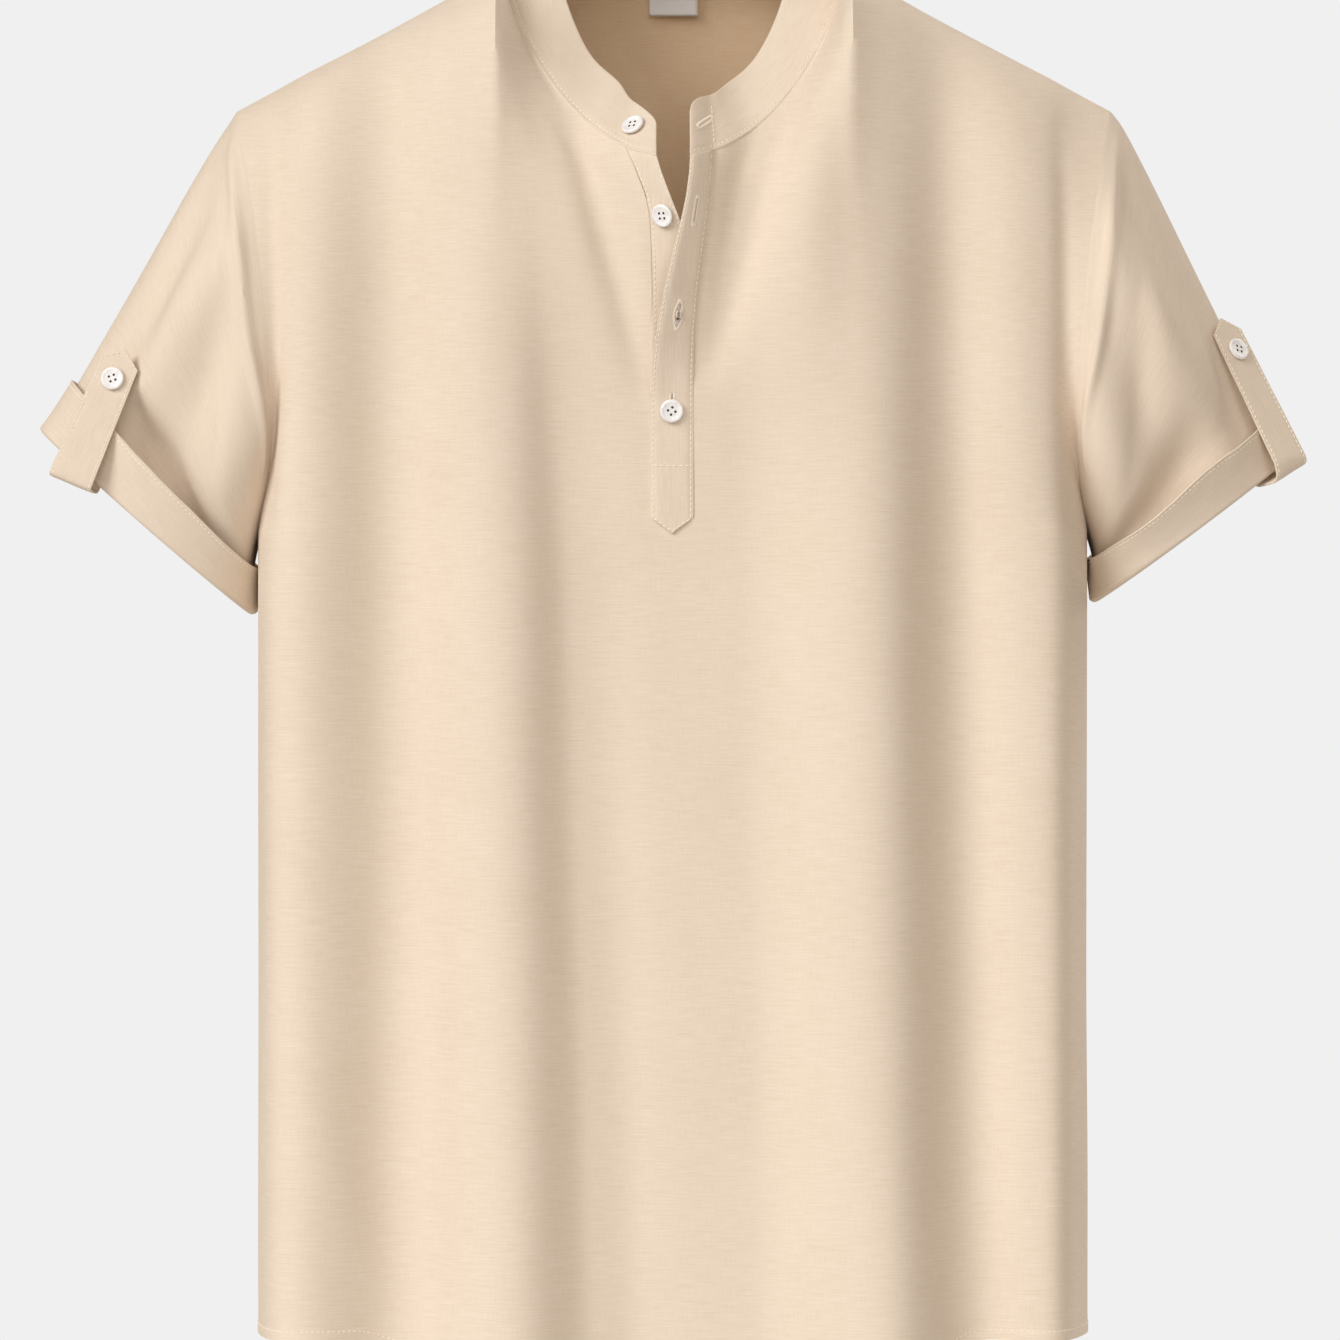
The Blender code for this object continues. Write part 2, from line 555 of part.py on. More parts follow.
class Sleeve:
    """One sleeve; `side` is +1 for the wearer's left. Angle 0 is its outer edge, 90 degrees its front."""

    def __init__(self, name):
        self.side = side = 1 if name == "left" else -1
        (x, z, tilt, lean, self.half_long, self.half_short, self.height, self.slant, self.flare,
         self.front_flare) = CUFFS[name]
        tilt, lean = math.radians(tilt), math.radians(lean)
        self.outer_run = np.array([side * math.sin(lean), 0.0, -math.cos(lean)])
        self.out = np.array([side * math.cos(tilt), 0.0, math.sin(tilt)])
        self.down = np.array([side * math.sin(tilt), 0.0, -math.cos(tilt)])
        self.centre = np.array([side * x, 0.0, z])
        self.armholes = {}
        for panel in (FRONT, BACK):
            v = np.linspace(1.0, 0.0, 91)
            line = np.array([panel.armhole(value, side) for value in v])
            arc = np.concatenate(([0.0], np.cumsum(np.linalg.norm(np.diff(line, axis=0), axis=1))))
            self.armholes[panel.face] = (arc / arc[-1] * math.pi, v)

    def start(self, angle):
        """Armhole point and the direction in which the sleeve leaves it."""
        turn = (angle + math.pi) % (2 * math.pi) - math.pi
        panel = FRONT if turn >= 0 else BACK
        turns, shares = self.armholes[panel.face]
        point = panel.armhole(float(np.interp(abs(turn), turns, shares)), self.side)
        hang = ease((abs(math.degrees(turn)) - HANG_FROM) / (HANG_FULL - HANG_FROM))
        mix = np.array([1.0, math.cos(turn), hang])
        full = panel.face * LEAVE_FULL * math.sin(abs(turn))
        return point, unit(np.array([self.side * (mix @ LEAVE_OUT), full, mix @ LEAVE_UP]))

    def end(self, angle):
        """Point of the cuff's edge, its outward direction and the direction of the cloth there."""
        c, s = math.cos(angle), math.sin(angle)
        front = np.array([0.0, -1.0, 0.0])
        point = self.centre + self.out * self.half_long * c + front * self.half_short * s
        outward = unit(self.out * c / self.half_long + front * s / self.half_short)
        upper = (1.0 + c) / 2.0
        run = np.array([self.side * 0.06, 0.0, -1.0]) * (1.0 - upper) + self.outer_run * upper
        return point, outward, unit(run)

    def tube(self, angle, t):
        """Outer face of the sleeve from the armhole (t = 0) to the cuff's fold (t = 1), without folds."""
        start, leave = self.start(angle)
        end, _, run = self.end(angle)
        mix = np.array([1.0, (1.0 + math.cos(angle)) / 2.0, math.sin(angle) ** 2])
        return hermite(start, end, leave * (mix @ START_PULL), run * (mix @ END_PULL), t)

    def outward(self, angle, t):
        """Outward normal of the tube."""
        step, low, high = 0.02, max(t - 0.02, 0.0), min(t + 0.02, 1.0)
        round_it = self.tube(angle + step, t) - self.tube(angle - step, t)
        along = self.tube(angle, high) - self.tube(angle, low)
        return unit(np.cross(round_it, along)) * self.side

    def point(self, angle, t):
        """Outer face of the sleeve with its soft folds."""
        height = 0.0
        for at, spread, share, reach, lift in SLEEVE_FOLDS:
            turn = math.degrees(angle) - at
            turn = (turn + 180.0) % 360.0 - 180.0
            near = math.exp(-(turn / spread) ** 2 - ((t - share) / reach) ** 2)
            height += lift * near
        height *= ease(t / 0.2) * ease((1.0 - t) / 0.12)
        point = self.tube(angle, t) + self.outward(angle, t) * height
        point[0] = self.side * max(abs(point[0]), body_side(point[1], point[2]) + BODY_CLEAR * ease(t / 0.06))
        return point

    def above_fold(self, angle, height):
        """Point of the plain tube `height` along the cloth above the cuff's fold, and its normal."""
        t = np.linspace(1.0, 0.2, 33)
        line = np.array([self.tube(angle, value) for value in t])
        arc = np.concatenate(([0.0], np.cumsum(np.linalg.norm(np.diff(line, axis=0), axis=1))))
        at = float(np.interp(max(height, 0.0), arc, t))
        return self.tube(angle, at) - self.down * min(height, 0.0), self.outward(angle, at)

    def band(self, angle, above, gap):
        """Point of the turned-back band, `above` the fold and `gap` off the sleeve's outer face."""
        point, outward = self.above_fold(angle, above)
        point = point + outward * gap
        point[0] = self.side * max(abs(point[0]), body_side(point[1], point[2]) + WALL + BODY_CLEAR)
        return point

    def band_height(self, angle):
        return self.height + self.slant * math.cos(angle)

    def band_flare(self, angle):
        return self.flare + self.front_flare * math.sin(angle) ** 2


def make_sleeve(sleeve, name, finish):
    around = 34
    angles = [2 * math.pi * k / around for k in range(around)]
    tube_shares = (0.0, 0.07, 0.16, 0.27, 0.39, 0.51, 0.63, 0.75, 0.86, 0.94, 1.0)
    grid = [[sleeve.point(a, t) for a in angles] for t in tube_shares]
    ease_off = [SEAM + 0.15 + 0.5 * WALL * (1.0 + math.cos(a)) / 2 for a in angles]
    for index, a in enumerate(angles):
        under_arm = ease((-math.cos(a) - 0.5) / 0.5)
        away = sleeve.start(a)[1] * (1.0 - under_arm) + np.array([sleeve.side * 2.0, 0.0, 0.0]) * under_arm
        grid[0][index] = grid[0][index] + away * ease_off[index]
    for k in (1, 2, 3):
        turn = math.pi * k / 4
        grid.append([sleeve.band(a, -FOLD_RADIUS * math.sin(turn), FOLD_RADIUS * (1 - math.cos(turn)))
                     for a in angles])
    for share in (0.0, 0.5, 1.0):
        grid.append([sleeve.band(a, sleeve.band_height(a) * share,
                                 2 * FOLD_RADIUS + sleeve.band_flare(a) * share) for a in angles])
    return cloth_piece(name, grid, finish, closed=True, flip=sleeve.side < 0)


# ---------------------------------------------------------------- tabs


class Tab:
    """The strip that holds a cuff up: it runs from inside the sleeve round the fold and up to its button.

    Its outer run is drawn straight from the sleeve under its tip over the edge of the turned-back band.
    Heights are measured along the tab from the middle of its lower edge.
    """

    def __init__(self, sleeve, name):
        self.sleeve = sleeve
        foot_x, foot_y, foot_z, tip_x, tip_z, turn, self.hang, self.button = TABS[name]
        turn = math.radians(turn)
        self.foot = np.array([sleeve.side * foot_x, foot_y, foot_z])
        run = np.array([sleeve.side * tip_x, foot_y, tip_z]) - self.foot
        self.rise = float(np.linalg.norm(run))
        self.up = unit(run)
        outer_side = np.array([self.up[2], 0.0, -self.up[0]]) * sleeve.side
        back = np.array([0.0, 1.0, 0.0])
        self.across = outer_side * math.cos(turn) + back * math.sin(turn)
        self.out = outer_side * math.sin(turn) - back * math.cos(turn)
        shell = [(sleeve.point(a, t), 0.0) for a in np.radians(np.arange(*TAB_SEES, 4.0))
                 for t in np.linspace(0.5, 1.0, 41) if sleeve.outward(a, t) @ self.out > 0.2]
        band = [(sleeve.band(a, sleeve.band_height(a) * share,
                             2 * FOLD_RADIUS + sleeve.band_flare(a) * share), WALL)
                for a in np.radians(np.arange(*TAB_SEES, 4.0)) for share in np.linspace(-0.1, 1.0, 12)]
        self.outer_line = self.line([self.measure(*spot) for spot in shell + band], self.rise - 12.0, 1.0)
        self.inner_line = self.line([self.measure(*spot) for spot in shell], TAB_INSIDE, -1.0)

    def measure(self, point, wall):
        """Height, place across and depth of a point, the depth with the wall on top of it."""
        apart = point - self.foot
        return apart @ self.up, apart @ self.across, apart @ self.out + wall

    def width(self, height):
        return TAB_WIDTH_FOOT + (TAB_WIDTH_TIP - TAB_WIDTH_FOOT) * height / self.rise

    def line(self, spots, high, way):
        """Heights and depths of a run that keeps off all spots, outside them or inside them (-1)."""
        keep = TAB_CLEAR + WALL if way > 0 else TAB_CLEAR + 2.3 * WALL
        near = [(h, way * d + keep) for h, side, d in spots
                if abs(side) < self.width(h) / 2 + 1.5 and h < high + 10.0]
        top = max(d for h, d in near if h > high - 4.0)
        bend_h, bend_d = max([spot for spot in near if spot[0] < high - 6.0],
                             key=lambda spot: (spot[1] - top) / (high - spot[0]))
        upper = (bend_d - top) / (high - bend_h)
        lower = upper
        if way < 0:
            lower = max((d - bend_d) / (bend_h - h) for h, d in near if h < bend_h - 4.0)
        depths = [bend_d + lower * bend_h, bend_d, top - upper * (self.rise - high)]
        return [0.0, bend_h, self.rise], [way * depth for depth in depths]

    def spot(self, run, height, side):
        """Point of a run; `side` is -1 at the tab's inner edge and +1 at its outer edge."""
        depth = float(np.interp(height, *run))
        return self.foot + self.up * height + self.out * depth + self.across * side * self.width(height) / 2

    def outer(self, height, side):
        return self.spot(self.outer_line, height, side)

    def inner(self, height, side):
        return self.spot(self.inner_line, height, side)


def make_tab(tab, name, finish):
    sides = (-1.0, -0.5, 0.0, 0.5, 1.0)
    grid = [[tab.inner(height, side) for side in sides] for height in (TAB_INSIDE, 22.0, 13.0, TAB_BEND)]
    for k in range(1, 6):
        turn = math.pi * k / 6
        row = []
        for side in sides:
            inner, outer = tab.inner(TAB_BEND, side), tab.outer(TAB_BEND, side)
            row.append((inner + outer) / 2 - (outer - inner) / 2 * math.cos(turn)
                       - tab.up * (TAB_BEND + tab.hang * (1.0 - side) / 2) * math.sin(turn))
        grid.append(row)
    shoulder = tab.rise - TAB_POINT
    grid += [[tab.outer(TAB_BEND + (shoulder - TAB_BEND) * k / 5, side) for side in sides] for k in range(6)]
    grid.append([tab.outer(tab.rise - TAB_POINT * abs(side), side) for side in sides])
    return cloth_piece("tab_" + name, grid, finish, flip=tab.sleeve.side < 0)


def tab_button(tab, name, finish):
    height, step = tab.rise - tab.button, 6.0
    along = tab.outer(height + step, 0.0) - tab.outer(height - step, 0.0)
    outward = unit(np.cross(tab.across, along)) * tab.sleeve.side
    return make_button("button_tab_" + name, tab.outer(height, 0.0), outward, finish)


# ---------------------------------------------------------------- buttons and label


def make_button(name, place, outward, finish):
    """A turned button with a raised rim, its back SEAM above the cloth at `place`."""
    profile = ((0.0, 1.5), (3.9, 1.5), (4.6, BUTTON_HEIGHT), (5.6, BUTTON_HEIGHT), (BUTTON_RADIUS, 1.5),
               (BUTTON_RADIUS, 0.5), (5.2, 0.0), (0.0, 0.0))
    mesh = bpy.data.meshes.new(name)
    mesh.from_pydata([(r * MM, 0.0, z * MM) for r, z in profile], [(k, k + 1) for k in range(7)], [])
    made = add_object(name, mesh, finish)
    turn = made.modifiers.new("Turn", "SCREW")
    turn.axis = "Z"
    turn.steps = 20
    turn.render_steps = 20
    turn.use_merge_vertices = True
    turn.merge_threshold = 0.00001
    outward = Vector(outward)
    rotation = outward.to_track_quat("Z", "Y").to_matrix().to_4x4()
    shift = Vector(place) * MM + outward * SEAM * MM
    made.matrix_world = Matrix.Translation(shift) @ rotation
    return made


def strip_button(name, x, z, side, out, finish):
    """A button on a placket strip, at x, z."""
    step = 2.0
    wide = front_at(x + step, z, side, out) - front_at(x - step, z, side, out)
    tall = front_at(x, z + step, side, out) - front_at(x, z - step, side, out)
    return make_button(name, front_at(x, z, side, out + 0.25), unit(np.cross(wide, tall)), finish)


def collar_button(collar, finish):
    """The button on the wearer's right end of the collar band."""
    station, share, step = 16.5, 0.45, 2.0
    along = collar.point(station + step, share) - collar.point(station - step, share)
    up = collar.point(station, share + 0.1) - collar.point(station, share - 0.1)
    outward = unit(np.cross(up, along))
    return make_button("button_collar", collar.point(station, share) + outward * 0.5, outward, finish)


def make_label(finish):
    """A small blank label that hangs inside the back of the neck."""
    half_width, drop, wall, columns = 13.0, 17.0, 0.6, 5
    grid = []
    for level in (0.0, 0.5, 1.0):
        z = NECK_BACK_Z - 1.0 - drop * level
        row = []
        for c in range(columns):
            x = half_width * (2.0 * c / (columns - 1) - 1.0)
            cloth = BACK.point(x, BACK.row_at(x, z))
            row.append(np.array([x, cloth[1] - 2 * (WALL + SEAM) - 0.6, z]))
        grid.append(row)
    return cloth_piece("label", grid, finish, wall=wall)


# ---------------------------------------------------------------- shirt


def make_shirt():
    cloth = material("Linen", CLOTH_COLOUR, 0.9)
    pearl = material("Button", BUTTON_COLOUR, 0.35)
    paper = material("Label", LABEL_COLOUR, 0.8)
    make_front(cloth)
    make_back(cloth)
    collar = Collar()
    make_collar(collar, cloth)
    make_top_strip(cloth)
    make_under_strip(cloth)
    for name in ("right", "left"):
        sleeve = Sleeve(name)
        make_sleeve(sleeve, "sleeve_" + name, cloth)
        tab = Tab(sleeve, name)
        make_tab(tab, name, cloth)
        tab_button(tab, name, pearl)
    collar_button(collar, pearl)
    strip_button("button_under", -5.2, -135.0, "right", 0.0, pearl)
    strip_button("button_behind", 0.5, -185.5, "right", 0.0, pearl)
    strip_button("button_front", -1.2, -234.0, "left", SEAM + WALL, pearl)
    make_label(paper)


for old in list(bpy.data.objects):
    bpy.data.objects.remove(old, do_unlink=True)
SHIRT = bpy.data.collections.new("henley_shirt")
bpy.context.scene.collection.children.link(SHIRT)
make_shirt()
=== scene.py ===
"""Looks of the henley shirt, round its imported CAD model.

The first half repeats the form that the solids have, in millimetres, so that each cloth piece here is a
finer, thinner shell on the same surface. The second half adds creases, stitching, buttonholes, buttons,
materials, light and the camera. The front faces -Y, +X is the wearer's left, and "right" and "left" are
the wearer's.
"""
import functools
import math

import bpy
import numpy as np
from mathutils import Matrix, Vector, noise


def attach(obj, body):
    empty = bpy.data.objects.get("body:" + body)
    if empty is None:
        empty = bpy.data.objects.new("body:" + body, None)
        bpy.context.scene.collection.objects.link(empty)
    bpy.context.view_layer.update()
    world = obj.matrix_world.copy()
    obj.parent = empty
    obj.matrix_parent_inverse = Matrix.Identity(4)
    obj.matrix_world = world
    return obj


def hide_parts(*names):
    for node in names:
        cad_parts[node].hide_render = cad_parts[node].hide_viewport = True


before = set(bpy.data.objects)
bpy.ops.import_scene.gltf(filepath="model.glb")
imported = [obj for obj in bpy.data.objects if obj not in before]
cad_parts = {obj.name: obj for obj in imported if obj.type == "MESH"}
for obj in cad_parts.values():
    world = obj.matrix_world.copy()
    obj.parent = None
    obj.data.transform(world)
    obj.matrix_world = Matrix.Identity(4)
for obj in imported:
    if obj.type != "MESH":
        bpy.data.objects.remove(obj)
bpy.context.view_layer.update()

MM = 0.001

# ---------------------------------------------------------------- sizes of the form, as in the solids

# Cloth
WALL = 1.2
COLLAR_WALL = 1.8
SEAM = 0.3                      # gap between pieces that are sewn together

# Body
HALF_WIDTH = 216.0
FRONT_DEPTH = 80.0
BACK_DEPTH = 76.0
SECTION_POWER = 3.4             # squareness of the body's plan outline
UNDERARM_Z = -294.0
HEM_SIDE_Z = -711.0
HEM_CENTRE_Z = -745.0
HEM_CURVE_OUT = 166.0           # the hem's curve runs between these distances from the centre
HEM_CURVE_IN = 88.0
CHEST_PULL = 1.38               # how strongly the cloth keeps straight up from underarm level
FOLDS_END = 0.75                # share of the way up from there where the folds begin to fade

# Shoulders, neck and armholes
NECK_HALF = 90.0
NECK_FRONT_Y = -76.0
NECK_FRONT_Z = -105.0
NECK_BACK_Y = 62.0
NECK_BACK_Z = 3.0
NECK_FRONT_TILT = (14.0, 76.0)  # degrees off upright where the cloth meets the neckline: middle, sides more
NECK_BACK_TILT = (50.0, 40.0)
NECK_PULL = (190.0, 95.0)       # how strongly it keeps that direction: middle, more at the sides
SHOULDER_PULL = 3.6
SHOULDER_X = 229.0
SHOULDER_Z = -73.5
ARMHOLE_SCOOP = 13.0
ARMHOLE_TUCK = 0.21             # share of the half front that the armhole's scoop takes in
ARMHOLE_FRONT_Y = -62.0
ARMHOLE_BACK_Y = 52.0

# Collar band
COLLAR_HEIGHT = 33.0
COLLAR_FOOT = 0.9               # the leaning band starts this far above the neckline
COLLAR_ENDS = (-9.0, 8.4)       # x of the band's two front ends
COLLAR_CORNERS = ((20.0, 12.0), (8.0, 7.0))  # of the wearer's right and left end: along, high
COLLAR_LEAN = (                 # share of the way to centre back; lean inward in degrees, right and left
    (0.00, 41.0, 26.0),
    (0.10, 43.0, 32.0),
    (0.25, 46.0, 42.0),
    (0.45, 50.0, 50.0),
    (0.70, 36.0, 36.0),
    (1.00, 16.0, 16.0),
)
COLLAR_FRONT = 60.0             # within this of an end the band leans straight back, not inward

# Sleeves and cuffs
# Columns: x and z of the cuff's middle; how far in degrees the sleeve's axis, and its outer side near the
# cuff, lean out from straight down; half the cuff's long and short side; the band's height in the middle,
# how much higher it is outside than that, and how far its edge stands off, all round and more at the front.
CUFFS = {
    "right": (275.5, -288.0, 41.5, 41.0, 71.5, 42.0, 25.5, 4.0, 1.0, 3.4),
    "left": (271.0, -291.5, 37.1, 31.0, 62.0, 42.0, 22.0, 1.0, 1.0, 7.0),
}
FOLD_RADIUS = 1.3
HANG_FROM = 60.0                # between these angles from the outer edge the sleeve comes to hang down
HANG_FULL = 125.0
BODY_CLEAR = 1.0                # the sleeve keeps this far off the body
# Direction in which a sleeve leaves the armhole. Columns: halfway round, more on the outer side, more where
# it hangs.
LEAVE_OUT = (0.93, -0.12, -0.60)
LEAVE_UP = (-0.38, -0.30, -0.80)
LEAVE_FULL = 0.34
# How strongly it keeps its directions. Columns: everywhere, more on the outer side, more in front and behind.
START_PULL = (34.0, 20.0, 70.0)
END_PULL = (52.0, 95.0, 20.0)

# Tabs, seen from the front. Columns: x, y and z of the middle of the lower edge; x and z of the tip; how
# far in degrees the tab's outer edge is turned to the back; how much lower the inner corner hangs; how far
# below the tip the button sits.
TABS = {
    "right": (312.2, -48.0, -270.4, 284.2, -200.5, 8.0, 0.0, 16.5),
    "left": (312.2, -22.0, -264.2, 290.7, -181.5, 40.0, 5.5, 18.5),
}
TAB_WIDTH_FOOT = 24.0
TAB_WIDTH_TIP = 20.5
TAB_POINT = 8.0
TAB_INSIDE = 30.0               # the tab's hidden end is this high above its lower edge
TAB_BEND = 5.0                  # height of the round turn at its lower edge
TAB_CLEAR = 0.6                 # least gap between a tab and the sleeve or band beside it
TAB_SEES = (-40.0, 140.0)       # angles of the sleeve in degrees that a tab is kept clear of

# Placket
SLOT_Z = -262.0
TIP_Z = -296.6
TIP_SHOULDER_Z = -288.0
SLOT_TUCK = 1.5                 # the front runs this far under the strip on the wearer's left

# Buttons
BUTTON_RADIUS = 6.0

# The body's folds, each a line down the cloth. Columns: x and height (+ is out) at the shoulder blades,
# the waist and the hem.
FOLD_LEVELS = (-60.0, -320.0, -740.0)
FRONT_FOLDS = (
    (-216.0, 0.0, -216.0, 0.0, -216.0, 0.0),
    (-183.0, 7.0, -195.0, 9.0, -192.0, 9.0),
    (-146.0, -5.0, -137.0, -11.0, -135.0, -13.0),
    (-103.0, 6.0, -87.0, 11.0, -80.0, 13.0),
    (-74.0, -4.0, -54.0, -6.0, -40.0, -9.0),
    (-52.0, 0.0, -26.0, -8.0, -12.0, -11.0),
    (26.0, -2.0, 34.0, -8.0, 42.0, -11.0),
    (99.0, 6.0, 101.0, 11.0, 108.0, 13.0),
    (141.0, -5.0, 148.0, -10.0, 158.0, -11.0),
    (184.0, 5.0, 191.0, 8.0, 194.0, 8.0),
    (216.0, 0.0, 216.0, 0.0, 216.0, 0.0),
)
BACK_FOLDS = (
    (-216.0, 0.0, -216.0, 0.0, -216.0, 0.0),
    (-176.0, 2.0, -186.0, 8.0, -188.0, 9.0),
    (-140.0, -2.0, -146.0, -8.0, -138.0, -10.0),
    (-92.0, 3.0, -96.0, 10.0, -88.0, 12.0),
    (-44.0, -1.0, -40.0, -8.0, -46.0, -10.0),
    (6.0, 1.0, 10.0, 7.0, 2.0, 10.0),
    (52.0, -1.0, 60.0, -9.0, 52.0, -11.0),
    (100.0, 3.0, 106.0, 10.0, 104.0, 12.0),
    (148.0, -2.0, 150.0, -8.0, 152.0, -9.0),
    (186.0, 2.0, 190.0, 8.0, 190.0, 9.0),
    (216.0, 0.0, 216.0, 0.0, 216.0, 0.0),
)

# The neck opening, level by level. Columns: z; then for the wearer's right and left side the x of the
# soft trough beside the strip, of the strip's seam and of its free edge, and how far the edge stands out.
OPENING = (
    (-96.0, -50.0, -27.5, -9.5, 11.5, 43.0, 21.2, 8.8, 9.5),
    (-105.0, -46.0, -25.0, -9.0, 11.5, 39.0, 20.6, 8.4, 9.5),
    (-113.0, -42.0, -20.5, -6.6, 11.0, 36.0, 20.2, 8.0, 9.5),
    (-126.0, -37.0, -14.5, -1.8, 10.5, 33.0, 18.8, 6.3, 9.5),
    (-136.0, -33.0, -12.2, 2.2, 9.0, 31.0, 17.6, 4.2, 9.2),
    (-150.0, -29.0, -11.5, 7.4, 5.0, 28.0, 16.0, 0.6, 9.4),
    (-171.0, -25.0, -11.0, 8.2, 0.8, 24.0, 12.9, -4.4, 9.6),
    (-195.0, -22.0, -11.0, 8.0, 0.0, 20.0, 11.0, -8.8, 8.0),
    (-212.0, -20.0, -11.0, 7.8, 0.0, 19.0, 10.4, -11.2, 4.2),
    (-228.0, -20.0, -11.0, 7.8, 0.0, 19.0, 10.2, -12.0, 0.8),
    (-245.0, -20.0, -11.0, 7.8, 0.0, 19.0, 10.2, -12.0, 0.0),
    (-300.0, -20.0, -11.0, 7.8, 0.0, 19.0, 10.2, -12.0, 0.0),
)
SIDE_COLUMNS = {"right": 1, "left": 5}
PANEL_LIFT = 9.0                # the front's own rise beside the strips, at the neck
PANEL_LIFT_END_Z = -215.0
STRIP_BOW = 1.2                 # the strips bow out, so that their lift comes early

# Soft folds of a sleeve. Columns: angle round from the outer edge towards the front, half spread in
# degrees, share along from armhole to cuff where it is deepest, half spread along, height.
SLEEVE_FOLDS = (
    (38.0, 16.0, 0.30, 0.45, -4.0),
    (62.0, 16.0, 0.45, 0.40, 4.0),
    (88.0, 15.0, 0.45, 0.40, -5.0),
    (118.0, 18.0, 0.45, 0.35, 5.0),
    (98.0, 40.0, 0.78, 0.12, -8.0),
    (-50.0, 18.0, 0.40, 0.40, -4.0),
    (-85.0, 18.0, 0.45, 0.40, 4.0),
    (-118.0, 18.0, 0.50, 0.40, -5.0),
)

# ---------------------------------------------------------------- sizes of the looks

PHOTO_SIDE = 1340               # pixels
FOCAL_LENGTH = 5716             # pixels
SENSOR = 36.0                   # mm
CAMERA_PLACE = (-0.002, -3.0, -0.3665)      # m

BACKGROUND = (0.871, 0.871, 0.871, 1.0)     # what the camera sees of the studio
AMBIENT = (0.255, 0.205, 0.15, 1.0)         # the soft light that it gives
# Columns: name, strength; degrees left of the camera and up; how wide the soft light is in degrees.
LIGHTS = (
    ("key", 2.05, 48.0, 27.0, 32.0),
    ("fill", 0.88, -6.0, 22.0, 50.0),
    ("back", 1.3, -132.0, 34.0, 40.0),
)
FLOOR_Z = -1.30                 # m, and so is its radius
FLOOR_RADIUS = 4.4
FLOOR_SIDES = 64
FLOOR_COLOUR = (0.74, 0.73, 0.72)

PANEL_WALL = 0.9                # the shown cloth's thickness on body and sleeves
STITCH_PITCH = 2.8
STITCH_LENGTH = 2.0
STITCH_RADIUS = 0.26
SATIN_RADIUS = 0.19             # a buttonhole's stitch
SATIN_STEP = 0.42
SATIN_BITE = 1.5                # how far it reaches over the cloth beside the slit
SLIT_EDGE = 0.12                # the cloth's bare edge inside it
TACK_AT = 0.3                   # stitches across a slit's end start this far beyond it
TACK_STEP = 0.35
TACK_STITCHES = 4
EDGE_STEPS = (0.0, 0.3, 0.8, 1.5, 2.2, 3.4)   # columns near a folded edge, the fourth one stitched
STITCH_STEP = 3
EDGE_ROUND = 0.25               # how far a folded edge turns down
STITCH_DIP = 0.22


def ease(value):
    """Smooth step from 0 to 1, flat at both ends."""
    t = min(max(value, 0.0), 1.0)
    return t * t * (3.0 - 2.0 * t)


def unit(vector):
    return vector / np.linalg.norm(vector)


def arc_lengths(line):
    """How far along a line of points each of them lies."""
    return np.concatenate(([0.0], np.cumsum(np.linalg.norm(np.diff(line, axis=0), axis=1))))


def hermite(start, end, start_pull, end_pull, t):
    """Point on the cubic that leaves start along start_pull and reaches end along end_pull."""
    t2, t3 = t * t, t * t * t
    return (start * (2 * t3 - 3 * t2 + 1) + end * (3 * t2 - 2 * t3)
            + start_pull * (t3 - 2 * t2 + t) + end_pull * (t3 - t2))


# ---------------------------------------------------------------- body


def quarter_outline(depth):
    """A quarter of the body's plan outline: arc length from the centre line, x, and distance from y = 0."""
    angle = np.linspace(0.0, math.pi / 2, 1441)
    x = HALF_WIDTH * np.sin(angle) ** (2.0 / SECTION_POWER)
    y = depth * np.cos(angle) ** (2.0 / SECTION_POWER)
    arc = np.concatenate(([0.0], np.cumsum(np.hypot(np.diff(x), np.diff(y)))))
    return arc, x, y


